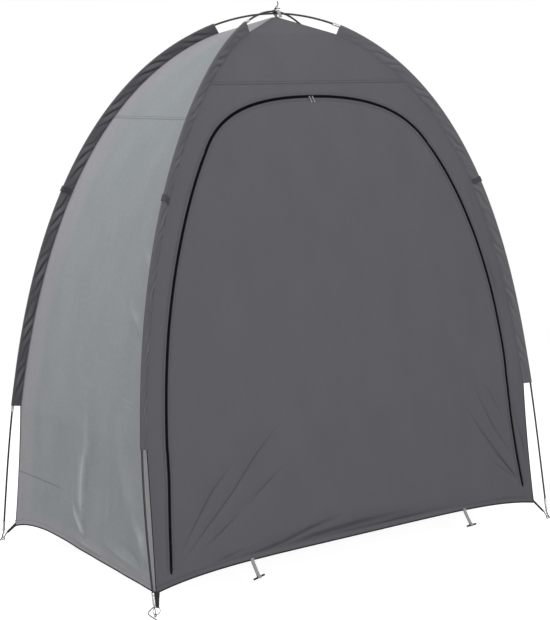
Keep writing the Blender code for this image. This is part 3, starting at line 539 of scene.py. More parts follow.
# each finish: the slot that it fills in the frame, and its material
charcoal, grey = clothLook["charcoal"], clothLook["grey"]
frontLook = dict(wall=front, creases=paintedCreasesFront)
greyLook = dict(mottle=0.06, spread=0.02, margin=clothLook["greyMargin"])
finishes = dict(
    charcoal=("charcoal_cloth", clothMaterial("charcoalCloth", charcoal, 0.05)),
    front=("charcoal_cloth", clothMaterial("charcoalCloth_front", charcoal, 0.05, **frontLook)),
    grey=("light_grey_cloth", clothMaterial("lightGreyCloth", grey, **greyLook)),
    leftGrey=("light_grey_cloth", clothMaterial("lightGreyCloth_left", grey, wall=left, creases=paintedCreasesLeft,
                                                **greyLook)),
    sleeve=("sleeve_cloth", clothMaterial("sleeveCloth", clothLook["sleeve"], 0.08, crease=True)),
    pole=("black_fibreglass", rodMaterial("blackFibreglass", (0.030, 0.030, 0.032))),
    steel=("bright_steel", steelMaterial("brightSteel", (0.86, 0.86, 0.86), 0.42)),
    wire=("bright_steel", steelMaterial("steelWire", (0.22, 0.22, 0.225), 0.38)),
    webbing=("black_webbing", webbingMaterial("blackWebbing", (0.030, 0.030, 0.033))),
    loopWebbing=("black_webbing", webbingMaterial("loopWebbing", (0.095, 0.095, 0.102))),
    greyWebbing=("grey_webbing", webbingMaterial("greyWebbing", (0.46, 0.46, 0.47))),
    zip=("black_zip", plasticMaterial("blackZip", (0.0045, 0.0045, 0.0055), 0.75, 0.12)),
    zipTape=("black_zip", webbingMaterial("blackZipTape", (0.006, 0.006, 0.007), 0.1)),
    pull=("bright_steel", steelMaterial("dullSteel", (0.42, 0.42, 0.43), 0.45)),
    toggle=("black_plastic", plasticMaterial("blackPlastic", (0.009, 0.009, 0.010), 0.5, 0.3)),
    cord=("grey_cord", webbingMaterial("greyCord", (0.15, 0.15, 0.16))),
    crownTape=("grey_cord", webbingMaterial("greyTape", (0.62, 0.62, 0.64))),
    binding=("black_webbing", webbingMaterial("darkBinding", (0.022, 0.022, 0.026))),
    darkThread=("charcoal_cloth", threadMaterial("darkThread", (0.035, 0.035, 0.040))),
    greyThread=("light_grey_cloth", threadMaterial("greyThread", (0.20, 0.20, 0.21))),
)
print("materials:", len(finishes))


# meshes

def standing(name, data):
    obj = bpy.data.objects.new(name, data)
    bpy.context.scene.collection.objects.link(obj)
    return obj


def giveUvs(mesh, table):
    layer = mesh.uv_layers.new(name="cloth")
    index = np.zeros(len(mesh.loops), int)
    mesh.loops.foreach_get("vertex_index", index)
    layer.data.foreach_set("uv", np.asarray(table, float)[index].astype(np.float32).ravel())


def giveValues(obj, name, values):
    attribute = obj.data.attributes.new(name, "FLOAT", "POINT")
    attribute.data.foreach_set("value", np.asarray(values).astype(np.float32).ravel())


def applied(obj):
    # what the modifier makes becomes the object's own mesh
    mesh = bpy.data.meshes.new_from_object(obj.evaluated_get(bpy.context.evaluated_depsgraph_get()))
    obj.modifiers.clear()
    mesh.name = obj.name
    obj.data = mesh
    return mesh


def dress(obj, finish, *nodes):
    # every piece rides on the tent's one body, and may stand for nodes of the frame
    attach(obj, body)
    if nodes:
        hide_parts(*nodes)
    return obj


def gridFaces(across, up):
    i, j = np.meshgrid(np.arange(across - 1), np.arange(up - 1))
    a = (j * across + i).ravel()
    return np.stack([a, a + 1, a + across + 1, a + across], axis=1)


def thicken(obj, thickness):
    # the sheet's outer face stays, and its edge closes behind it
    mod = obj.modifiers.new("thickness", "SOLIDIFY")
    mod.thickness = thickness
    mod.offset = -1
    mod.use_even_offset = True
    applied(obj).set_sharp_from_angle(angle=math.radians(55))


def flatSize(u, s):
    # the smallest rectangle that the cut comes out of
    points = np.stack([u.ravel(), s.ravel()], axis=1)
    best = None
    for turn in np.radians(np.arange(0, 90, 1.0)):
        c, d = math.cos(turn), math.sin(turn)
        size = np.ptp(points @ np.array([[c, -d], [d, c]]), axis=0)
        if best is None or size[0] * size[1] < best[0] * best[1]:
            best = size
    return round(float(min(best)), 3), round(float(max(best)), 3)


def loft(name, rings, finish, *nodes, closedPath=False, sharp=40):
    # rings of equal count become one piece, and the path is closed or has flat ends
    count, total = len(rings[0]), len(rings)
    faces = []
    for k in range(total if closedPath else total - 1):
        a, b = k * count, ((k + 1) % total) * count
        faces += [(a + i, a + (i + 1) % count, b + (i + 1) % count, b + i) for i in range(count)]
    if not closedPath:
        faces += [range(count - 1, -1, -1), range((total - 1) * count, total * count)]
    bm = bmesh.new()
    made = [bm.verts.new(p) for ring in rings for p in ring]
    for face in faces:
        bm.faces.new([made[i] for i in face])
    bmesh.ops.recalc_face_normals(bm, faces=bm.faces)
    mesh = bpy.data.meshes.new(name)
    bm.to_mesh(mesh)
    bm.free()
    points = np.array([[tuple(p) for p in ring] for ring in rings])
    run = np.concatenate([[0], np.cumsum(np.linalg.norm(np.diff(points.mean(axis=1), axis=0), axis=1))])
    around = np.linalg.norm(np.diff(points[0], axis=0, append=points[0][:1]), axis=1)
    turn = np.concatenate([[0], np.cumsum(around)[:-1]])
    giveUvs(mesh, np.stack([np.tile(turn, total), np.repeat(run, count)], axis=1))
    mesh.materials.append(finishes[finish][1])
    mesh.shade_smooth()
    mesh.set_sharp_from_angle(angle=math.radians(sharp))
    return dress(standing(name, mesh), finish, *nodes)


def circle(radius, sides):
    turns = [2 * math.pi * i / sides for i in range(sides)]
    return [(radius * math.cos(turn), radius * math.sin(turn)) for turn in turns]


def section(at, points):
    # flat points set at a centre, along its outward and across ways
    centre, outward, across = at
    return [centre + outward * a + across * b for a, b in points]


def oblong(half, low, high):
    return [(-half, low), (half, low), (half, high), (-half, high)]


def smoothLine(points, step):
    # a curve through the points, with a point every step
    p = [Vector(q) for q in points]
    p = [p[0] * 2 - p[1], *p, p[-1] * 2 - p[-2]]
    found = []
    for before, a, b, after in zip(p, p[1:], p[2:], p[3:]):
        count = max(2, math.ceil((b - a).length / step))
        for k in range(count):
            t = k / count
            found.append(0.5 * ((2 * a) + (b - before) * t + (2 * before - 5 * a + 4 * b - after) * t * t
                                + (3 * a - before - 3 * b + after) * t ** 3))
    return found + [p[-2].copy()]


def pathFrames(points, side):
    frames = []
    for i, p in enumerate(points):
        ahead = (points[min(i + 1, len(points) - 1)] - points[max(i - 1, 0)]).normalized()
        across = (side - ahead * side.dot(ahead)).normalized()
        frames.append((p, across.cross(ahead), across))
    return frames


# geometry nodes: a round tube along a line, and small pieces set along a line

def newTree(name, lengths, sides):
    tree = bpy.data.node_groups.new(name, "GeometryNodeTree")
    newInputs(tree, "Geometry", Geometry=None)
    newInputs(tree, "Float", **lengths)
    newInputs(tree, "Int", Sides=sides)
    newInputs(tree, "Material", Finish=None)
    tree.interface.new_socket("Geometry", in_out="OUTPUT", socket_type="NodeSocketGeometry")
    return tree, nodeOf(tree, "NodeGroupInput").outputs, nodeOf(tree, "NodeGroupOutput")


def finished(tree, given, end, mesh):
    # the last nodes of each tree: real geometry, smooth, with its material
    real = nodeOf(tree, "GeometryNodeRealizeInstances", {"Geometry": mesh})
    smooth = nodeOf(tree, "GeometryNodeSetShadeSmooth", {"Geometry": real.outputs["Geometry"]})
    finish = nodeOf(tree, "GeometryNodeSetMaterial", {"Geometry": smooth.outputs["Geometry"],
                                                      "Material": given["Finish"]})
    feed(tree, end, {"Geometry": finish.outputs["Geometry"]})
    return tree


def tubeTree():
    tree, given, end = newTree("roundTube", dict(Radius=0.004), 16)
    curve = nodeOf(tree, "GeometryNodeMeshToCurve", {"Mesh": given["Geometry"]})
    profile = nodeOf(tree, "GeometryNodeCurvePrimitiveCircle", {"Radius": given["Radius"],
                                                                "Resolution": given["Sides"]}, mode="RADIUS")
    sweep = nodeOf(tree, "GeometryNodeCurveToMesh", {
        "Curve": curve.outputs["Curve"], "Profile Curve": profile.outputs["Curve"], "Fill Caps": True})
    return finished(tree, given, end, sweep.outputs["Mesh"])


def rowTree():
    # short rods along a line: stitches lie along it, and zip coils across it
    tree, given, end = newTree("rodRow", dict(Pitch=0.004, Length=0.003, Radius=0.0003, Turn=0.0), 5)
    curve = nodeOf(tree, "GeometryNodeMeshToCurve", {"Mesh": given["Geometry"]})
    spaced = nodeOf(tree, "GeometryNodeResampleCurve", {
        "Curve": curve.outputs["Curve"], "Length": given["Pitch"]}, mode="LENGTH")
    tangent = nodeOf(tree, "GeometryNodeInputTangent")
    outward = nodeOf(tree, "GeometryNodeInputNamedAttribute", data_type="FLOAT_VECTOR")
    outward.inputs["Name"].default_value = "outward"
    first = nodeOf(tree, "FunctionNodeAlignRotationToVector", {
        "Vector": tangent.outputs["Tangent"]}, axis="Z")
    second = nodeOf(tree, "FunctionNodeAlignRotationToVector", {
        "Rotation": first.outputs["Rotation"], "Vector": outward.outputs["Attribute"]},
        axis="X", pivot_axis="Z")
    angle = nodeOf(tree, "FunctionNodeAxisAngleToRotation", {"Axis": (1, 0, 0), "Angle": given["Turn"]})
    turned = nodeOf(tree, "FunctionNodeRotateRotation", {
        "Rotation": second.outputs["Rotation"], "Rotate By": angle.outputs["Rotation"]},
        rotation_space="LOCAL")
    rod = nodeOf(tree, "GeometryNodeMeshCylinder", {"Vertices": given["Sides"], "Radius": given["Radius"],
                                                    "Depth": given["Length"]}, fill_type="NGON")
    place = nodeOf(tree, "GeometryNodeInstanceOnPoints", {
        "Points": spaced.outputs["Curve"], "Rotation": turned.outputs["Rotation"],
        "Instance": rod.outputs["Mesh"]})
    return finished(tree, given, end, place.outputs["Instances"])


trees = dict(tube=tubeTree(), rods=rowTree())


def linesObject(name, lines, outwards=None, closed=False):
    # plain edges for a tree to follow, with the way out of the cloth at each point
    verts, edges = [], []
    for line in lines:
        start = len(verts)
        verts += [tuple(p) for p in line]
        edges += [(start + i, start + i + 1) for i in range(len(line) - 1)]
        if closed:
            edges.append((start + len(line) - 1, start))
    mesh = bpy.data.meshes.new(name)
    mesh.from_pydata(verts, edges, [])
    if outwards is not None:
        away = np.array([tuple(way) for ways in outwards for way in ways], np.float32)
        mesh.attributes.new("outward", "FLOAT_VECTOR", "POINT").data.foreach_set("vector", away.ravel())
    return standing(name, mesh)


def runTree(obj, tree, finish, nodes=(), **sizes):
    mod = obj.modifiers.new("make", "NODES")
    mod.node_group = tree
    sizes["Finish"] = finishes[finish][1]
    for item in tree.interface.items_tree:
        if item.item_type == "SOCKET" and item.in_out == "INPUT" and item.name in sizes:
            mod[item.identifier] = sizes[item.name]
    bpy.context.view_layer.update()
    applied(obj)
    return dress(obj, finish, *nodes)


def wire(name, points, radius, finish, *nodes, sides=12, step=0.0012, closed=False):
    # a round rod; with a step of 0 it keeps the points as they are
    line = smoothLine(points, step) if step else points
    obj = linesObject(name, [line], closed=closed)
    return runTree(obj, trees["tube"], finish, nodes, Radius=radius, Sides=sides)


stitchSize = dict(pitch=0.0042, length=0.0030, radius=0.00034, sides=5)


def stitches(name, lines, outwards, finish):
    z = stitchSize
    return runTree(linesObject(name, lines, outwards), trees["rods"], finish, Pitch=z["pitch"],
                   Length=z["length"], Radius=z["radius"], Sides=z["sides"])


# folds in the cloth

# shallow folds: width, height, (u, z) points
foldsLeft = [
    (0.022, 0.0075, ((-0.042, 0.68), (-0.058, 0.56), (-0.056, 0.46), (-0.04, 0.38), (-0.024, 0.3))),
    (0.015, 0.0105, ((-0.046, 0.44), (-0.03, 0.36), (-0.018, 0.29), (-0.014, 0.22), (-0.015, 0.14))),
    (0.03, -0.004, ((-0.11, 0.62), (-0.112, 0.5), (-0.1, 0.34), (-0.09, 0.22))),
    (0.013, 0.0075, ((0.056, 0.29), (0.034, 0.205), (0.008, 0.17), (-0.016, 0.128))),
    (0.009, -0.004, ((0.022, 0.24), (0.004, 0.195), (-0.012, 0.165))),
    (0.011, 0.0045, ((0.07, 0.132), (-0.016, 0.113), (-0.15, 0.1))),
    (0.014, 0.004, ((-0.255, 1.14), (-0.335, 1.065))),
    (0.016, 0.0055, ((-0.24, 0.96), (-0.345, 0.865))),
    (0.014, -0.0045, ((-0.26, 0.905), (-0.355, 0.8))),
    (0.034, 0.0085, ((-0.255, 0.6), (-0.303, 0.425), (-0.322, 0.34), (-0.372, 0.23))),
    (0.017, 0.0075, ((-0.34, 0.28), (-0.389, 0.215), (-0.425, 0.125))),
    (0.014, 0.005, ((-0.14, 0.152), (-0.257, 0.131), (-0.4, 0.108))),
    (0.012, -0.0035, ((-0.24, 0.17), (-0.33, 0.15), (-0.41, 0.13))),
    (0.009, 0.003, ((-0.186, 0.32), (-0.179, 0.215))),
    (0.014, 0.0028, ((0.259, 0.29), (0.262, 0.215))),
    (0.05, 0.005, ((0.15, 0.7), (0.17, 0.35))),
    (0.04, 0.0045, ((-0.2, 0.66), (-0.19, 0.34))),
]
foldsFront = [
    (0.016, -0.003, ((-0.745, 0.17), (-0.606, 0.343), (-0.5, 0.44))),
    (0.016, -0.0032, ((-0.741, 0.141), (-0.524, 0.328), (-0.32, 0.522))),
    (0.015, -0.0028, ((-0.66, 0.16), (-0.48, 0.268), (-0.3, 0.392))),
    (0.017, -0.0055, ((-0.64, 0.108), (-0.448, 0.114), (-0.3, 0.136), (-0.05, 0.184))),
    (0.018, -0.0075, ((-0.4, 0.108), (-0.198, 0.126), (0.0, 0.137), (0.27, 0.139))),
    (0.014, -0.005, ((0.1, 0.112), (0.33, 0.118), (0.56, 0.11))),
    (0.018, -0.0036, ((0.52, 0.49), (0.62, 0.357), (0.79, 0.15))),
    (0.018, -0.0036, ((0.57, 0.58), (0.673, 0.376), (0.78, 0.23))),
    (0.018, -0.0026, ((0.5, 0.64), (0.62, 0.44))),
    (0.014, -0.003, ((0.63, 0.27), (0.785, 0.155))),
    (0.014, -0.003, ((0.771, 0.5), (0.819, 0.291), (0.826, 0.215))),
]
foldsPlain = [
    (0.02, 0.003, ((-0.3, 0.6), (-0.28, 0.25))),
    (0.018, 0.0026, ((0.24, 0.52), (0.28, 0.2))),
    (0.012, -0.0016, ((0.36, 0.16), (0.1, 0.25))),
]


front.folds, left.folds, back.folds, right.folds = foldsFront, foldsLeft, foldsPlain, foldsPlain


def foldHeight(wall, u, s):
    total = np.zeros(u.shape)
    for width, height, points in wall.folds:
        line = np.array([(a, float(wall.toS(z))) for a, z in points])
        lengths = np.linalg.norm(np.diff(line, axis=0), axis=1)
        starts = np.concatenate([[0], np.cumsum(lengths)])
        best = np.full(u.shape, 9.0)
        where = np.zeros(u.shape)
        for a, b, start, length in zip(line, line[1:], starts, lengths):
            d = b - a
            t = np.clip(((u - a[0]) * d[0] + (s - a[1]) * d[1]) / (d @ d), 0, 1)
            gap = np.hypot(u - a[0] - d[0] * t, s - a[1] - d[1] * t)
            where = np.where(gap < best, (start + length * t) / starts[-1], where)
            best = np.minimum(gap, best)
        fade = np.sin(np.pi * np.clip(where, 0, 1)) ** 0.7
        total += height * fade * np.exp(-(best / width) ** 2)
    return total


def ripples(wall, u, s, waves=7):
    # long soft ripples that hang down the cloth
    pick = random.Random(wall.seed)
    total = np.zeros(u.shape)
    for _ in range(waves):
        pitch, phase = pick.uniform(0.07, 0.20), pick.uniform(0, fullTurn)
        lean, slow = pick.uniform(-0.12, 0.12), pick.uniform(0.35, 0.9)
        total += np.sin(fullTurn * (u + lean * s) / pitch + phase) * np.sin(fullTurn * s * slow + phase * 2)
    return total * wall.ripple / waves


clothSize = dict(thickness=0.0009, sink=0.0001, greySink=0.0015, hold=0.045, marginBack=0.125,
                 marginFront=0.05, marginHem=0.060, marginCrown=2.0, strip=0.0006, stitchLift=0.0009)


def clothShape(wall, u, s):
    # folds and ripples, held flat along the hips
    hold = np.clip((wall.hip(s) - np.abs(u)) / clothSize["hold"], 0, 1)
    hold = hold * hold * (3 - 2 * hold)
    return foldHeight(wall, u, s) * (0.25 + 0.75 * hold) + ripples(wall, u, s) * hold


def sheetPiece(name, wall, u, s, finish, nodes):
    # a grid of (u, s) on the wall becomes a sheet of cloth; margin is how near an edge is
    z = clothSize
    points = wall.place(u, s, clothShape(wall, u, s))
    faces = gridFaces(u.shape[1], u.shape[0])
    if np.cross(points[0, 1] - points[0, 0], points[1, 0] - points[0, 0]) @ wall.outward(s[0, 0]) < 0:
        faces = faces[:, ::-1]
    mesh = bpy.data.meshes.new(name)
    mesh.from_pydata(points.reshape(-1, 3).tolist(), [], faces.tolist())
    giveUvs(mesh, np.stack([u, s], axis=-1).reshape(-1, 2))
    mesh.materials.append(finishes[finish][1])
    mesh.shade_smooth()
    obj = standing(name, mesh)
    side = (wall.hip(s) - np.abs(u)) / np.where(u > 0, z["marginBack"], z["marginFront"])
    side = side / (1 + z["marginCrown"] * (s / wall.arc[-1]) ** 8)
    low = (s - wall.hem(u / wall.hip(0.0))) / z["marginHem"]
    giveValues(obj, "margin", np.clip(1 - np.minimum(side, low), 0, 1) ** 0.7)
    area = float(sum(p.area for p in mesh.polygons))
    thicken(obj, z["thickness"])
    dress(obj, finish, *nodes)
    flat = flatSize(u, s)
    area = min(area, flat[0] * flat[1])
    print(name, "cut from", flat, "area", round(area, 3), "m2")


def hangingWall(name, wall, finish, across, up):
    # a wall with no door: one sheet from the hem to the crown
    t = np.linspace(-1, 1, across)[None, :]
    foot = wall.hem(t)
    s = foot + (wall.arc[-1] - foot) * np.linspace(0, 1, up)[:, None]
    u = t * (wall.hip(s) - clothSize["greySink" if wall.across else "sink"])
    nodes = [name + part for part in ("_wall_low", "_wall", "_wall_high", "_crown")]
    sheetPiece(name + "Wall", wall, u, s, finish, nodes)


hangingWall("left", left, "leftGrey", 150, 210)
hangingWall("right", right, "grey", 96, 150)
hangingWall("back", back, "charcoal", 120, 150)


zipSize = dict(open=0.0052, tapeHalf=0.013, tapeLift=-0.0016, facing=0.0105, facingLift=0.0002,
               coilLength=0.0072, coilRadius=0.00052, coilPitch=0.0016, coilSides=6, coilLift=-0.0003,
               stitchNear=0.0062, stitchFar=0.0120, stitchLift=0.0011)


def doorFoot():
    return float(front.toZ(front.hem(doorLine["footShare"])))


def frontStrips(count=160):
    # the charcoal wall beside the doorway, from the door's edge out to the hip
    sink = clothSize["sink"]
    springS = float(front.toS(doorLine["spring"]))
    r = np.linspace(0, 1, 26)[None, :]
    t = np.linspace(0, 1, count + 1)[:, None]
    for name, side in (("Left", -1), ("Right", 1)):
        low = doorEdge(side, doorFoot(), -zipSize["open"], count, True)[:count + 1]
        guess = low[0, 0] * (1 - r) + side * front.hip(low[0, 1]) * r
        head = low[-1, 1] * (1 - r) + springS * r
        s = front.hem(guess / hipLine["corner"][0]) * (1 - t) + head * t
        edge = np.interp(s, low[:, 1], low[:, 0])
        u = edge * (1 - r) + side * (front.hip(s) - sink) * r
        straight = low[-1, 0] * (1 - r) + side * (front.hip(springS) - sink) * r
        u = u + (straight - u) * t ** count
        sheetPiece("frontWall" + name, front, u, s, "front", ["front_wall_" + name.lower()])


def overDoor(half=70, upSteps=29):
    # the part between the arch, the hips and the cross seam
    seamS, springS = (float(front.toS(z)) for z in (seamHeights["front"], doorLine["spring"]))
    r = np.linspace(0, 1, 26)[None, :, None]
    up = np.linspace(springS, seamS, upSteps)
    sides = []
    for side in (-1, 1):
        inner = even(doorEdge(side, 0.2, -zipSize["open"])[90:], half + 1)
        hips = np.stack([side * (front.hip(up) - clothSize["sink"]), up], axis=1)
        along = np.linspace(hips[-1, 0], inner[-1, 0], half - upSteps + 2)[1:]
        outer = np.concatenate([hips, np.stack([along, np.full(len(along), seamS)], axis=1)])
        sides.append(inner[:, None] * (1 - r) + outer[:, None] * r)
    patch = np.concatenate([sides[0], sides[1][-2::-1]])
    sheetPiece("frontWallOverDoor", front, patch[..., 0], patch[..., 1], "front", ["front_wall_over_door"])


def frontCrown():
    seamS = float(front.toS(seamHeights["front"]))
    t = np.linspace(-1, 1, 70)[None, :]
    s = seamS + (front.arc[-1] - seamS) * np.linspace(0, 1, 60)[:, None] + t * 0
    u = t * (front.hip(s) - clothSize["sink"])
    sheetPiece("frontCrown", front, u, s, "front", ["front_crown"])


def doorSheet(across=150, up=150, count=120):
    # the closed door, a patch between its hem, its two edges and the arch
    sides, tops = {}, {}
    arch = count + int(doorLine["archSteps"] * 0.62)
    for side in (-1, 1):
        edge = doorEdge(side, doorFoot(), zipSize["open"], count, True)
        sides[side], tops[side] = edge[:arch + 1], edge[arch:]
    leftSide, rightSide = even(sides[-1], up), even(sides[1], up)
    topSide = even(np.concatenate([tops[-1], tops[1][-2::-1]]), across)
    bottomU = np.linspace(sides[-1][0][0], sides[1][0][0], across)
    bottomSide = np.stack([bottomU, front.hem(bottomU / hipLine["corner"][0])], axis=1)
    leftSide[0], rightSide[0] = bottomSide[0], bottomSide[-1]
    a = np.linspace(0, 1, across)[None, :, None]
    b = np.linspace(0, 1, up)[:, None, None]
    patch = (leftSide[:, None] * (1 - a) + rightSide[:, None] * a
             + bottomSide[None] * (1 - b) + topSide[None] * b
             - (bottomSide[0] * (1 - a) * (1 - b) + bottomSide[-1] * a * (1 - b)
                + topSide[0] * (1 - a) * b + topSide[-1] * a * b))
    sheetPiece("doorPanel", front, patch[..., 0], patch[..., 1], "front", ["door_panel"])


frontStrips()
overDoor()
frontCrown()
doorSheet()
print("cloth sheets done")


# strips of cloth and tape on a wall

def ribbon(name, wall, line, low, high, lift, finish, across=4, folded=True, margin=0.0):
    # a strip beside a line of (u, s): from low to high across it, this far in front of the wall
    place = line[:, None] + lineNormals(line)[:, None] * np.linspace(low, high, across)[None, :, None]
    u, s = place[..., 0], place[..., 1]
    shape = clothShape(wall, u, s) if folded else 0.0
    top = wall.place(u, s, lift + clothSize["strip"] + shape)
    under = wall.place(u, s, lift + shape)
    rings = [[Vector(p) for p in (*above, *below[::-1])] for above, below in zip(top, under)]
    piece = loft(name, rings, finish, sharp=50)
    giveValues(piece, "margin", np.full(len(piece.data.vertices), margin))


def stitchRows(name, wall, line, distances, lift, thread):
    # rows of stitches beside a line, on the folds of the cloth
    lines, outwards = [], []
    for distance in distances:
        u, s = (line + lineNormals(line) * distance).T
        lines.append(wall.place(u, s, clothShape(wall, u, s) + lift))
        outwards.append(wall.outward(s))
    stitches(name, lines, outwards, thread)


wallPlan = (("front", front, "charcoal", "darkThread", seamHeights["front"]),
            ("back", back, "charcoal", "darkThread", seamHeights["front"]),
            ("left", left, "grey", "greyThread", seamHeights["side"]),
            ("right", right, "grey", "greyThread", seamHeights["side"]))
seam = dict(half=0.0055, stitch=0.0038, lift=0.0001, inset=0.003)
hem = dict(turn=0.019, stitch=0.0165, lift=0.0001, inset=0.002, tapeUp=0.0024, tapeDown=0.0026,
           tapeThick=0.0010, tapeOut=0.0008, round=0.0003)


def crossSeams():
    # the felled seam under each crown panel: a folded strip with two rows of stitches
    for name, wall, finish, thread, height in wallPlan:
        s = float(wall.toS(height))
        reach = float(wall.hip(s)) - seam["inset"]
        line = np.stack([np.linspace(-reach, reach, 90), np.full(90, s)], axis=1)
        ribbon(name + "CrossSeam", wall, line, -seam["half"], seam["half"], seam["lift"], finish)
        stitchRows(name + "CrossStitches", wall, line, (-seam["stitch"], seam["stitch"]),
                   clothSize["stitchLift"], thread)


def hems():
    # the turned-up hem with its row of stitches, and the dark tape bound over the edge
    near = hem["tapeOut"] + hem["tapeThick"] * 0.5
    far = -clothSize["thickness"] - hem["tapeThick"] * 0.5
    up, down, bulge = -hem["tapeUp"], hem["tapeDown"], hem["round"]
    outline = [(near, up), (near + bulge, down * 0.5), (near * 0.3, down), (far * 0.6, down),
               (far - bulge, down * 0.5), (far, up)]
    t = np.linspace(-1, 1, 161)
    for name, wall, finish, thread, _ in wallPlan:
        u, s = t * (float(wall.hip(0.0)) - hem["inset"]), wall.hem(t)
        line = np.stack([u, s], axis=1)
        ribbon(name + "Hem", wall, line, 0.0, hem["turn"], hem["lift"], finish, 5, margin=1.0)
        stitchRows(name + "HemStitches", wall, line, (hem["stitch"],), clothSize["stitchLift"], thread)
        edge = zip(wall.place(u, s, clothShape(wall, u, s)), wall.outward(s))
        rings = [section((Vector(at), Vector(out), -upright), outline) for at, out in edge]
        loft(name + "HemBinding", rings, "binding", sharp=60)


crossSeams()
hems()
print("seams and hems done")


def doorZip():
    # black tape behind the cloth's edges, the coil on it, and a folded facing with stitches on each side
    z = zipSize
    line = doorLoop()
    ribbon("zipTape", front, line, -z["tapeHalf"], z["tapeHalf"], z["tapeLift"], "zipTape", folded=False)
    coil = linesObject("zipCoil", [front.place(*line.T, z["coilLift"])], [front.outward(line[:, 1])])
    runTree(coil, trees["rods"], "zip", ["door_zip"], Pitch=z["coilPitch"], Length=z["coilLength"],
            Radius=z["coilRadius"], Sides=z["coilSides"], Turn=0.5 * math.pi)
    for name, side in (("Outer", 1), ("Inner", -1)):
        low, high = sorted((side * z["open"], side * (z["open"] + z["facing"])))
        ribbon("zipFacing" + name, front, line, low, high, z["facingLift"], "charcoal")
        stitchRows("zipStitches" + name, front, line, (side * z["stitchNear"], side * z["stitchFar"]),
                   z["stitchLift"], "darkThread")


doorZip()

# each outline row: share of the length, width, and height where it has one
pull = dict(places={"left": -0.0065, "right": 0.0065}, length=0.0240, width=0.0030, thickness=0.0013,
            lean=0.36, bodyLength=0.0105, bodyHalf=0.0040, bodyLow=0.0008, bodyHigh=0.0040, wire=0.0007,
            edge=0.0008,
            body=((-0.5, 0.45, 0.5), (-0.46, 0.75, 0.8), (-0.36, 0.98, 0.98), (-0.15, 0.92, 1.0),
                  (0.1, 0.78, 1.0), (0.3, 0.85, 0.98), (0.44, 0.72, 0.85), (0.5, 0.45, 0.55)),
            tab=((0.0, 0.55), (0.02, 0.80), (0.06, 0.95), (0.20, 0.95), (0.28, 0.70), (0.55, 0.72),
                 (0.66, 1.0), (0.92, 1.05), (0.98, 0.85), (1.0, 0.6)))


def makePull(name, offset):
    # a slider on the coil, its bridge, and the tab that hangs from it
    z = pull
    u0 = doorLine["sway"] + offset
    s0 = float(front.toS(doorLine["top"]))

    def spot(u, s, lift):
        return Vector(front.place(u0 + u, s0 + s, lift))

    rings = []
    for a, wide, high in z["body"]:
        half, low, edge = z["bodyHalf"] * wide, z["bodyLow"], z["edge"]
        top = low + (z["bodyHigh"] - low) * high
        outline = [(-half, low), (-half, top - edge), (edge + 0.0001 - half, top)]
        outline += [(-b, c) for b, c in outline[::-1]]
        rings.append([spot(z["bodyLength"] * a, b, c) for b, c in outline])
    loft("zipSlider_" + name, rings, "zip")
    arch = ((-0.0034, -0.0004), (-0.0026, 0.0016), (0.0, 0.0024), (0.0026, 0.0016), (0.0034, -0.0004))
    bridge = [spot(a, 0.0, z["bodyHigh"] + b) for a, b in arch]
    wire("zipBridge_" + name, bridge, z["wire"], "wire", sides=10, step=0.0006)
    way = Vector((math.sin(z["lean"]), -math.cos(z["lean"])))
    side = Vector((way.y, -way.x))
    rings = []
    for share, wide in z["tab"]:
        lift = z["bodyHigh"] + 0.0010 - 0.0022 * share
        at = way * (z["length"] * share + 0.0005)
        half, deep = z["width"] * wide, z["thickness"] / 2
        outline = [(-half, -deep * 0.5), (-half * 0.8, -deep), (half * 0.8, -deep), (half, -deep * 0.5)]
        outline += [(-a, -b) for a, b in outline]
        rings.append([spot(at.x + side.x * a, at.y + side.y * a, lift + b) for a, b in outline])
    loft("zipTab_" + name, rings, "pull", "zip_pull_" + name, sharp=45)


for name, offset in pull["places"].items():
    makePull(name, offset)


zipEnd = dict(half=0.0046, low=-0.0008, high=0.0018,
              outline=((-0.0145, 0.5, 0.25), (-0.013, 0.7, 0.5), (-0.006, 0.85, 0.8), (-0.003, 1.0, 1.0),
                       (0.003, 1.0, 1.0), (0.0055, 0.85, 0.9), (0.006, 0.6, 0.4)))


def zipEnds():
    # the moulded end block at each foot of the zip
    z = zipEnd
    for name, side in (("left", -1), ("right", 1)):
        line = doorEdge(side, doorLine["zipFoot"][side])
        u0, s0 = line[0]
        way = Vector(line[2] - line[0]).normalized()
        across = Vector((way.y, -way.x))
        rings = []
        for a, wide, high in z["outline"]:
            half, top = z["half"] * wide, z["high"] * high
            spots = [(-half, z["low"]), (-half, top), (half, top), (half, z["low"])]
            rings.append([Vector(front.place(u0 + way.x * a + across.x * b, s0 + way.y * a + across.y * b, c))
                          for b, c in spots])
        loft("zipEnd_" + name, rings, "zip")


zipEnds()
print("zip done")


# poles, sleeves and what is on the poles

def poleStations(corner, count=150):
    # from one foot over the crossing to the other
    low = math.radians(poleLine["footAngle"])
    leg, far = ([legPoint(low + (math.pi / 2 - low) * i / count, way) for i in range(count)]
                for way in (corner, (-corner[0], -corner[1])))
    return leg + [Vector((0, 0, poleHeight(corner)))] + far[::-1]


for name, node, corner in (("PoleUnder", "pole_under", (-1, 1)), ("PoleOver", "pole_over", (-1, -1))):
    wire(name, poleStations(corner), poleLine["radius"], "pole", node, sides=20, step=0)


sleeveSize = dict(stations=300, round=0.0052, root=0.0017, wall=0.0007, crease=0.0034, creasePitch=0.062,
                  creaseSlant=0.085, creaseWidth=0.50, least=0.0009, mouth=0.0011, inSeam=0.0010,
                  stitch=0.0045,      # below: how strong the painted crease shade and highlight are, and how much lighter or darker each sleeve is painted
                  shade={"back_left": (1.40, -0.13), "front_left": (0.60, -0.11),
                         "front_right": (0.30, 0.04)},
                  shadeElse=(0.4, 0.0))


# how far each sleeve's upper end lies past the frame's: on the pole, and on the seam
sleeveEnd = dict(front_left=(-0.010, 0.006), back_left=(0.011, 0.015), front_right=(-0.009, -0.008),
                 back_right=(-0.009, -0.008))


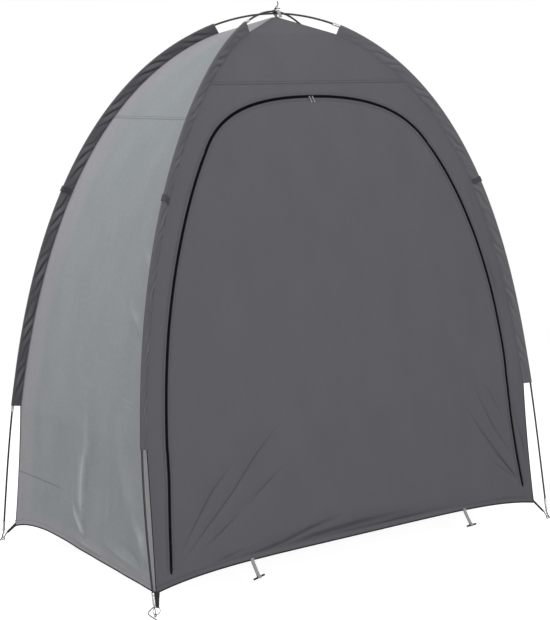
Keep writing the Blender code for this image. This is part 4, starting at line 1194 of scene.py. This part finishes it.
def sleeveFrame(angle, corner):
    centre, _, across = legFrame(angle, corner)
    seamAt = seamPoint(angle)
    reach = centre - Vector((seamAt.x * corner[0], seamAt.y * corner[1], seamAt.z))
    return (centre, reach.normalized(), across), reach.length


def alongLeg(angle, corner):
    return (legPoint(angle + 0.001, corner) - legPoint(angle, corner)).normalized()


def sleeveOutline(depth, run, seed, grow, calm, flat=15, turn=11):
    # from the seam, round the pole and back, with slanting creases on both flat sides
    z = sleeveSize
    radius = z["round"] + grow
    pick = random.Random(seed)
    phases = [pick.uniform(0, fullTurn) for _ in range(4)]
    warp = 0.9 * math.sin(run / 0.137 * fullTurn + phases[0])
    warp += 0.6 * math.sin(run / 0.083 * fullTurn + phases[1])

    def crease(q, side):
        phase = fullTurn * (run + q * z["creaseSlant"]) / z["creasePitch"] + warp + phases[2 + (side > 0)]
        deep = 0.60 + 0.40 * math.sin(run / 0.21 * fullTurn + phases[3] + side)
        sharp = 0.45 - math.exp(-(math.sin(phase / 2) / z["creaseWidth"]) ** 2)
        return z["crease"] * calm * deep * sharp * math.sin(math.pi * min(1.0, max(0.0, q))) ** 0.6

    # tones are the crease's depth, later painted onto the sleeve as shade and highlight
    points, shades = [], []
    for side in (-1, 1):
        row, tones = [], []
        for i in range(flat):
            q = i / flat
            swell = q * q * (3 - 2 * q)
            b = max(z["least"], z["root"] + (z["round"] - z["root"]) * swell + crease(q, side)) + grow
            row.append((depth * q - depth, side * b))
            tones.append(crease(q, side) / z["crease"])
        points.append(row)
        shades.append(tones)
    bends = [math.pi * i / turn for i in range(turn + 1)]
    arc = [(radius * math.sin(bend), -radius * math.cos(bend)) for bend in bends]
    return points[0] + arc + points[1][::-1], shades[0] + [0.0] * (turn + 1) + shades[1][::-1]


def makeSleeve(name, corner, seed):
    # a flat tunnel of cloth from the hip seam round the pole
    z = sleeveSize
    total = z["stations"]
    low, high = math.radians(hipLine["sleeveLow"]), math.radians(hipLine["sleeveHigh"])
    onPole, onSeam = sleeveEnd[name]
    outer, inner, shades, frames = [], [], [], []
    run = 0.0
    for i in range(total + 1):
        angle = low + (high - low) * i / total
        at, depth = sleeveFrame(angle, corner)
        run += (at[0] - frames[-1][0][0]).length if frames else 0.0
        frames.append((at, depth))
        skew = max(0.0, (i / total - 0.88) / 0.12) ** 1.5
        calm = min(1.0, i / (0.05 * total), (total - i) / (0.07 * total))
        ahead = alongLeg(angle, corner)
        for rings, less, grow in ((outer, -z["inSeam"], 0.0), (inner, 0.0018, -z["wall"])):
            outline, tones = sleeveOutline(depth - less, run, seed, grow + z["mouth"] * (1 - calm), calm)
            if rings is outer:
                shades += tones
            ring = []
            for (a, _), point in zip(outline, section(at, outline)):
                share = min(1.0, max(0.0, 1 + a / depth))
                ring.append(point + ahead * (skew * (onSeam + (onPole - onSeam) * share)))
            rings.append(ring)
    piece = loft("sleeveCloth_" + name, outer + inner[::-1], "sleeve", "sleeve_" + name, closedPath=True,
                 sharp=60)
    # painted shade and highlight along the creases, and each sleeve painted a little darker or lighter as a
    # whole
    strength, offset = z["shade"].get(name, z["shadeElse"])
    giveValues(piece, "crease", [strength * v + offset for v in shades] + [0.0] * len(shades))
    lines, away = [], []
    for side in (-1, 1):
        seen = frames[2:int(total * 0.95):2]
        lines.append([centre - outward * (depth - z["stitch"]) + across * side * (z["root"] + 0.0006)
                      for (centre, outward, across), depth in seen])
        away.append([at[2] * side for at, _ in seen])
    stitches("sleeveCloth_" + name + "_stitches", lines, away, "darkThread")


ferruleSize = dict(radius=0.0049, lip=0.0054, bore=poleLine["radius"] + 0.0002)


def makeFerrule(name, corner, low, high, node):
    bore, lip, radius = (ferruleSize[k] for k in ("bore", "lip", "radius"))
    profile = [(0, bore), (0, lip - 0.0002), (0.03, lip), (0.07, lip), (0.11, radius), (0.34, radius),
               (0.38, radius - 0.0004), (0.42, radius), (0.86, radius), (0.90, lip), (0.96, lip),
               (1, lip - 0.0003), (1, bore)]
    rings = [section(legFrame(low + (high - low) * t, corner), circle(r, 20)) for t, r in profile]
    loft(name, rings, "steel", node, closedPath=True, sharp=35)


for index, (name, corner) in enumerate(corners.items()):
    makeSleeve(name, corner, 20 + index)
    start = math.radians(hipLine["sleeveHigh"]) + sleeveEnd[name][0] - 0.004
    if name != "back_left":
        makeFerrule("ferruleBody_" + name, corner, start, start + 0.030, "ferrule_" + name)
makeFerrule("ferruleBody_low", corners["back_left"], math.radians(15.0), math.radians(15.75),
            "ferrule_low_back_left")
print("poles and sleeves done")


fitting = dict(tipRadius=0.0047, tipTop=2.12, tipEnd=0.83, pin=0.0017, pinTop=1.05, eye=0.0048, ring=0.0125,
               ringWire=0.0011, ringLean=33, gap=0.0003, peg=0.0018, pegReach=0.15,
               pegHook=((-0.003, -0.0093, 0.0300), (0.0035, -0.0088, 0.0300), (0.009, -0.013, 0.0235),
                        (0.015, -0.018, 0.0155), (0.017, -0.013, 0.0095), (0.0135, -0.003, 0.0045)),
               pegHeel=(0.011, 0.009), pegWay=0.12)


# the hip seam's dark rod: partly its edge, partly painted shade where the walls meet
seamEdgeSize = dict(radius=0.0015, out=0.0004, inset=0.004, sides=6)


def hipSeamDarkEdge(name, corner):
    # a thin dark rod along the hip seam, from the hem to the sleeve's end: the seam's dark edge, and painted
    # shade where the walls meet
    wall = front if corner[1] < 0 else back
    top = legPoint(math.radians(hipLine["sleeveLow"]), corner).z - seamEdgeSize["inset"]
    heights = np.linspace(float(wall.hem(1.0)) + seamEdgeSize["inset"], float(wall.toS(top)), 40)
    points = wall.place(corner[0] * wall.hip(heights), heights, seamEdgeSize["out"])
    wire("hipPiping_" + name, points, seamEdgeSize["radius"], "binding", sides=seamEdgeSize["sides"], step=0.008)


for name, corner in corners.items():
    hipSeamDarkEdge(name, corner)


def makeTip(name, corner):
    top, end = math.radians(fitting["tipTop"]), math.radians(fitting["tipEnd"])
    bore, radius = poleLine["radius"] + 0.0002, fitting["tipRadius"]
    neck = radius - 0.0006
    profile = [(0.45, bore), (0.0, bore), (0.0, radius - 0.0004), (0.03, radius), (0.20, radius),
               (0.24, neck), (0.30, neck), (0.34, radius), (0.82, radius), (0.92, neck),
               (0.98, radius - 0.0018), (1.0, radius - 0.0028)]
    rings = [section(legFrame(top + (end - top) * t, corner), circle(r, 24)) for t, r in profile]
    loft("tip_" + name, rings, "steel", "pole_tip_" + name, sharp=35)


def eyeCentre(corner):
    foot = legPoint(0.0, corner)
    return Vector((foot.x, foot.y, fitting["eye"] + fitting["pin"]))


def makePin(name, corner):
    # one wire: down out of the tip, round the eye and back against its own shank
    f = fitting
    centre = eyeCentre(corner)
    outward = legFrame(0.0, corner)[1]
    flat = Vector((outward.x, outward.y, 0)).normalized()
    points = [legPoint(math.radians(f[k]), corner) for k in ("pinTop", "tipEnd")]
    points.append(centre + upright * (f["eye"] + 0.0075) + flat * 0.0006)
    for i in range(15):
        turn = math.radians(58 - 22.5 * i)
        points.append(centre + upright * (f["eye"] * math.sin(turn)) + flat * (f["eye"] * math.cos(turn)))
    points.append(points[-1] + upright * 0.0012 + flat * 0.0005)
    wire("pinWire_" + name, points, f["pin"] * 0.88, "wire", "pin_" + name, sides=14, step=0.0008)


def ringFrame(corner):
    f = fitting
    foot = legPoint(0.0, corner)
    inward = Vector((-foot.x, -foot.y, 0)).normalized()
    lean = inward * math.sin(math.radians(f["ringLean"])) + upright * math.cos(math.radians(f["ringLean"]))
    contact = f["eye"] - f["pin"] - f["gap"] - f["ringWire"]
    return eyeCentre(corner) + lean * (contact + f["ring"]), lean, inward.cross(upright)


def makeRing(name, corner):
    points = section(ringFrame(corner), circle(fitting["ring"], 40))
    wire("ringWire_" + name, points, fitting["ringWire"], "wire", "ring_" + name, step=0, closed=True)


tabSize = dict(top=0.0125, shoulder=0.0115, shoulderAt=0.18, end=0.0060, thickness=0.0046, fold=0.0011,
               stitches=(0.10, 0.16, 0.72, 0.80), twist={"back_left": 9, "front_right": -9})


def makeTab(name, corner):
    # webbing from the walls' corner, folded round the ring and stitched to itself
    z = tabSize
    centre, lean, across = ringFrame(corner)
    loopAt = centre + lean * fitting["ring"]
    low = hipLine["corner"]
    start = Vector((low[0] * corner[0], low[1] * corner[1], low[2] + 0.004))
    ahead = (loopAt - start).normalized()
    end = loopAt - ahead * 0.004
    thick = across.cross(ahead).normalized()
    turn = math.radians(z["twist"].get(name, 0))
    broad = across * math.cos(turn) + thick * math.sin(turn)
    deep = thick * math.cos(turn) - across * math.sin(turn)
    rings = []
    for share in np.linspace(0, 1, 24):
        width = z["top"] + (z["shoulder"] - z["top"]) * min(1, share / z["shoulderAt"])
        if share > z["shoulderAt"]:
            past = (share - z["shoulderAt"]) / (1 - z["shoulderAt"])
            width = z["shoulder"] + (z["end"] - z["shoulder"]) * past ** 0.8
        half = z["thickness"] * (1.0 + 0.3 * share) / 2
        edge = half * 0.45
        outline = [(-width, -edge), (-width + edge, -half), (width - edge, -half), (width, -edge)]
        outline += [(-a, -b) for a, b in outline]
        rings.append(section((start.lerp(end, share), broad, deep), outline))
    loft("tab_" + name, rings, "webbing", "corner_tab_" + name, sharp=50)
    eye = fitting["ringWire"] + 0.0003
    rings = []
    for i in range(25):
        turn = math.radians(-150 + 300 * i / 24)
        way = ahead * math.cos(turn) + thick * math.sin(turn)
        rings.append(section((loopAt + way * eye, across, way), oblong(z["end"], 0.0, z["fold"])))
    loft("tabLoop_" + name, rings, "webbing", sharp=60)
    lines, away = [], []
    for share in z["stitches"]:
        for side in (1, -1):
            on = start.lerp(end, share) + deep * (side * (z["thickness"] * (0.5 + 0.15 * share) + 0.0002))
            lines.append([on + broad * (z["end"] * 0.82 * k) for k in (-1, -0.5, 0, 0.5, 1)])
            away.append([deep * side] * 5)
    stitches("tabStitches_" + name, lines, away, "darkThread")


def makePeg(name, corner):
    # hooked round the pin, down to the floor and straight out from the tent
    f = fitting
    foot = legPoint(0.0, corner)
    points = [Vector((foot.x + corner[0] * x, foot.y + corner[1] * y, z)) for x, y, z in f["pegHook"]]
    heel = Vector((foot.x + corner[0] * f["pegHeel"][0], foot.y + corner[1] * f["pegHeel"][1], f["peg"]))
    way = Vector((corner[0] * f["pegWay"], corner[1], 0)).normalized()
    points += [heel + way * (f["pegReach"] * share) for share in (0.0, 0.33, 0.67, 0.985)]
    line = smoothLine(points, 0.0015)
    for point in line:
        point.z = max(point.z, f["peg"])
    run = [0.0]
    for a, b in zip(line, line[1:]):
        run.append(run[-1] + (b - a).length)
    rings = []
    for at, done in zip(pathFrames(line, upright), run):
        share = 0.8 if done < 0.001 else min(1.0, 0.25 + (run[-1] - done) / 0.008)
        rings.append(section(at, circle(f["peg"] * share, 12)))
    loft("pegWire_" + name, rings, "wire", "peg_" + name, sharp=50)


for name, corner in corners.items():
    makeTip(name, corner)
    makePin(name, corner)
    makeRing(name, corner)
    makeTab(name, corner)
    makePeg(name, corner)
print("feet done")


guyLoop = dict(angle=42.8, width=0.0200, thickness=0.0010, above=0.0007, bight=0.12, inset=0.004)


def makeGuyLoop(name, corner):
    # webbing round the sleeve's edge, both ends sewn in at the seam, with a small free bight for a line
    z = guyLoop
    angle = math.radians(z["angle"])
    (centre, outward, across), depth = sleeveFrame(angle, corner)
    ahead = alongLeg(angle, corner)
    roundEdge = sleeveSize["round"] + sleeveSize["crease"] * 0.3 + z["above"]
    root = sleeveSize["root"] + z["above"]

    def onSleeve(q):
        return -depth + z["inset"] + (depth - z["inset"]) * q, root + (roundEdge - root) * q

    flat = [onSleeve(i / 8) for i in range(9)]
    outline = [(a, -b) for a, b in flat]
    for i in range(1, 16):
        turn = math.pi * i / 16
        bight = 1 + z["bight"] * math.sin(turn) ** 6
        outline.append((roundEdge * math.sin(turn) * bight, -roundEdge * math.cos(turn)))
    outline += flat[::-1]
    rings = []
    for k, (a, b) in enumerate(outline):
        before, after = Vector(outline[max(k - 1, 0)]), Vector(outline[min(k + 1, len(outline) - 1)])
        way = (after - before).normalized()
        at = (centre + outward * a + across * b, ahead, outward * way.y - across * way.x)
        rings.append(section(at, oblong(z["width"] / 2, 0.0, z["thickness"])))
    loft("guyLoopWebbing_" + name, rings, "loopWebbing", "guy_loop_" + name, sharp=60)
    lines, away = [], []
    for side in (-1, 1):
        for share in (0.30, 0.55):
            reach, high = onSleeve(share)
            at = centre + outward * reach + across * (side * (high + z["thickness"] + 0.0002))
            lines.append([at + ahead * (z["width"] * 0.42 * k) for k in (-1, -0.5, 0, 0.5, 1)])
            away.append([across * side] * 5)
    stitches("guyLoopStitches_" + name, lines, away, "darkThread")


for name, corner in corners.items():
    makeGuyLoop(name, corner)


toggle = dict(places={"left": -0.471, "right": 0.492}, reach=0.038, barHeight=0.045, width=0.0125,
              thickness=0.0014, apart=0.0004, gap=0.0002, barLength=0.046, barRadius=0.0033,
              tilt={"left": 0.21, "right": 0.03},      # below: shares of the bar's length and radius
              halfBar=((-0.5, 0.35), (-0.49, 0.75), (-0.465, 0.98), (-0.44, 1.0), (-0.16, 0.94),
                       (-0.13, 0.80)))


def makeToggle(name, u):
    # a folded strap sewn under the hem, with the bar held in its bight
    z = toggle
    half, ply, near = z["width"] / 2, z["thickness"] * 0.6, z["barRadius"] + z["gap"]
    hemZ = float(front.toZ(front.hem(u / hipLine["corner"][0])))
    root = Vector(front.place(u, front.toS(hemZ + 0.006), 0.0014))
    bar = Vector((u, root.y - z["reach"], z["barHeight"]))
    bend = Vector((u, root.y - 0.004, hemZ - 0.006))
    line = smoothLine([root, bend, bend.lerp(bar, 0.5) - upright * 0.0012, bar], 0.002)
    frames = pathFrames(line, Vector((1, 0, 0)))

    def strapPly(low, high):
        return [(low, -half), (high, -half), (high, half), (low, half)]

    for part, side, nodes in (("Upper", 1, ["toggle_strap_" + name]), ("Lower", -1, [])):
        rings = []
        for k, at in enumerate(frames):
            share = k / (len(frames) - 1)
            gap = side * (z["apart"] + (near - z["apart"]) * max(0.0, (share - 0.82) / 0.18) ** 1.5)
            low, high = sorted((gap, gap + side * ply))
            rings.append(section(at, strapPly(low, high)))
        loft("toggleStrap" + part + "_" + name, rings, "greyWebbing", *nodes, sharp=60)
    _, outward, across = frames[-1]
    ahead = (frames[-1][0] - frames[-2][0]).normalized()
    rings = []
    for i in range(13):
        turn = math.radians(-90 + 180 * i / 12)
        way = ahead * math.cos(turn) + outward * math.sin(turn)
        rings.append(section((bar, way, across), strapPly(near, near + ply)))
    loft("toggleBight_" + name, rings, "greyWebbing", sharp=60)
    tilt = Vector((1, 0, z["tilt"][name])).normalized()
    side = tilt.cross(upright).normalized()
    profile = [*z["halfBar"], *[(-a, r) for a, r in z["halfBar"][::-1]]]
    rings = [section((bar + tilt * (z["barLength"] * a), side.cross(tilt).normalized(), side),
                     circle(z["barRadius"] * r, 20)) for a, r in profile]
    loft("toggleBar_" + name, rings, "toggle", "toggle_bar_" + name, sharp=45)


for name, place in toggle["places"].items():
    makeToggle(name, place)
print("loops and toggles done")


tie = dict(tapeWidth=0.0135, tapeThick=0.0012, place=0.010, halfWidth=0.0125, corner=0.0040, slack=0.0008,
           above=0.0004, lean=0.55, tail=0.030, cord=0.0019,
           knot=((-0.004, 0.0, 0.0010), (-0.002, -0.0028, 0.0020), (0.002, -0.0022, 0.0030),
                 (0.0034, 0.0012, 0.0030), (0.0006, 0.0030, 0.0034), (-0.0026, 0.0010, 0.0042),
                 (0.0, -0.0012, 0.0056)),
           end=((0.0, -0.001, 0.004), (0.005, -0.002, 0.0056), (0.012, -0.002, 0.0060),
                (0.019, -0.001, 0.0048)),
           standing=((0.002, 0.30), (0.0075, 0.42), (0.011, 0.58), (0.011, 0.80), (0.009, 1.0)))


def makeCrownTie():
    # a tape round both poles and the crown, its two ends standing up above the knot
    z = tie
    top = poleLine["crossing"] + 2 * poleLine["radius"] + 2 * poleLine["halfGap"]
    top = top + z["slack"] + z["tapeThick"]
    bottom = hipLine["crown"][2] + z["above"]
    centreZ = (top + bottom) / 2
    half = z["tapeWidth"] / 2
    rings = []
    for turn, (sideY, level) in enumerate(((1, top), (-1, top), (-1, bottom), (1, bottom))):
        middleY = sideY * (z["halfWidth"] + z["tapeThick"] - z["corner"])
        middleZ = level - z["corner"] if level == top else level + z["corner"]
        for i in range(7):
            angle = math.radians(90 * turn + 15 * i)
            y, high = middleY + z["corner"] * math.cos(angle), middleZ + z["corner"] * math.sin(angle)
            inward = Vector((0, -y, centreZ - high)).normalized()
            at = Vector((z["place"] - (high - centreZ) * z["lean"], y, high))
            rings.append(section((at, Vector((1, 0, 0)), inward), oblong(half, 0.0, z["tapeThick"])))
    loft("crownTape", rings, "crownTape", "crown_tie", closedPath=True, sharp=60)
    base = Vector((z["place"] - (top - centreZ) * z["lean"], 0, top))
    long = [base + Vector(p) for p in z["knot"]]
    long += [base + Vector((a, 0, z["tail"] * c)) for a, c in z["standing"]]
    wire("tieTail", long, z["cord"], "cord", "tie_tail", sides=10, step=0.0009)
    wire("tieEnd", [base + Vector(p) for p in z["end"]], z["cord"] * 0.85, "cord", sides=10, step=0.0009)


makeCrownTie()
print("crown tie done")

# camera at the photograph's angle

shot = dict(place=(-3.359, -4.5209, 1.6803), pan=36.5067, tilt=8.5604, roll=-0.6069, lens=90.04, sensor=36.0)


def makeCamera():
    pan, tilt, roll = (math.radians(shot[k]) for k in ("pan", "tilt", "roll"))
    ahead = Vector((math.sin(pan) * math.cos(tilt), math.cos(pan) * math.cos(tilt), -math.sin(tilt)))
    level = Vector((math.cos(pan), -math.sin(pan), 0))
    lifted = level.cross(ahead)
    across = level * math.cos(roll) + lifted * math.sin(roll)
    up = lifted * math.cos(roll) - level * math.sin(roll)
    data = bpy.data.cameras.new("camera")
    data.lens, data.sensor_width, data.sensor_fit = shot["lens"], shot["sensor"], "AUTO"
    data.clip_start, data.clip_end = 0.1, 60
    obj = standing("camera", data)
    turn = Matrix((across, up, -ahead)).transposed().to_4x4()
    obj.matrix_world = Matrix.Translation(Vector(shot["place"])) @ turn
    bpy.context.scene.camera = obj


lightPlan = [
    dict(name="skyPanel", place=(-0.8, -1.2, 5.2), aim=(-0.2, 0, 1), size=3.6, power=62),
    dict(name="frontPanel", place=(-0.5, -5.3, 1.5), aim=(0, 0, 0.8), size=2.0, power=92),
    dict(name="leftPanel", place=(-4.9, 2.4, 3.9), aim=(-0.7, 0, 0.9), size=1.3, power=122),
    dict(name="backPanel", place=(3.6, 4.4, 2.8), aim=(0, 0, 0.9), size=3.0, power=55),
]
studio = dict(sky=0.45, floorGlow=0.92, floorHalf=5.0, fadeFrom=1.6, fadeTo=4.2)


def makeLights():
    for plan in lightPlan:
        data = bpy.data.lights.new(plan["name"], "AREA")
        data.size, data.energy = plan["size"], plan["power"]
        obj = standing(plan["name"], data)
        obj.location = plan["place"]
        way = Vector(plan["aim"]) - Vector(plan["place"])
        obj.rotation_euler = way.to_track_quat("-Z", "Y").to_euler()
    world = bpy.data.worlds.new("studio")
    bpy.context.scene.world = world
    world.use_nodes = True
    tree = world.node_tree
    soft = feed(tree, tree.nodes["Background"], {"Color": (1, 1, 1), "Strength": studio["sky"]})
    plain = nodeOf(tree, "ShaderNodeBackground", {"Color": (1, 1, 1)})      # the white backdrop
    path = nodeOf(tree, "ShaderNodeLightPath")
    mix = nodeOf(tree, "ShaderNodeMixShader", {0: path.outputs["Is Camera Ray"], 1: soft.outputs[0],
                                               2: plain.outputs[0]})
    feed(tree, tree.nodes["World Output"], {"Surface": mix.outputs[0]})
    bpy.context.scene.view_settings.view_transform = "Standard"
    bpy.context.scene.view_settings.look = "None"


def makeFloor():
    # a pale floor that runs out into the plain backdrop
    half = studio["floorHalf"]
    mesh = bpy.data.meshes.new("floor")
    mesh.from_pydata([(x, y, 0) for x, y in oblong(half, -half, half)], [], [(0, 1, 2, 3)])
    mat, tree, shader = plainMaterial("paleFloor", (0.50, 0.50, 0.50), 0.9)
    path = nodeOf(tree, "ShaderNodeLightPath")
    glow = mathOf(tree, "MULTIPLY", path.outputs["Is Camera Ray"], studio["floorGlow"])
    far = vectorOf(tree, "LENGTH", onObject(tree))
    reach = {"From Min": studio["fadeFrom"], "From Max": studio["fadeTo"]}
    fade = ranged(tree, far, 1.0, 0.0, reach, interpolation_type="SMOOTHSTEP")
    feed(tree, shader, {"Emission Color": (1, 1, 1), "Emission Strength": glow, "Alpha": fade})
    mesh.materials.append(mat)
    standing("floor", mesh)


makeCamera()
makeLights()
makeFloor()
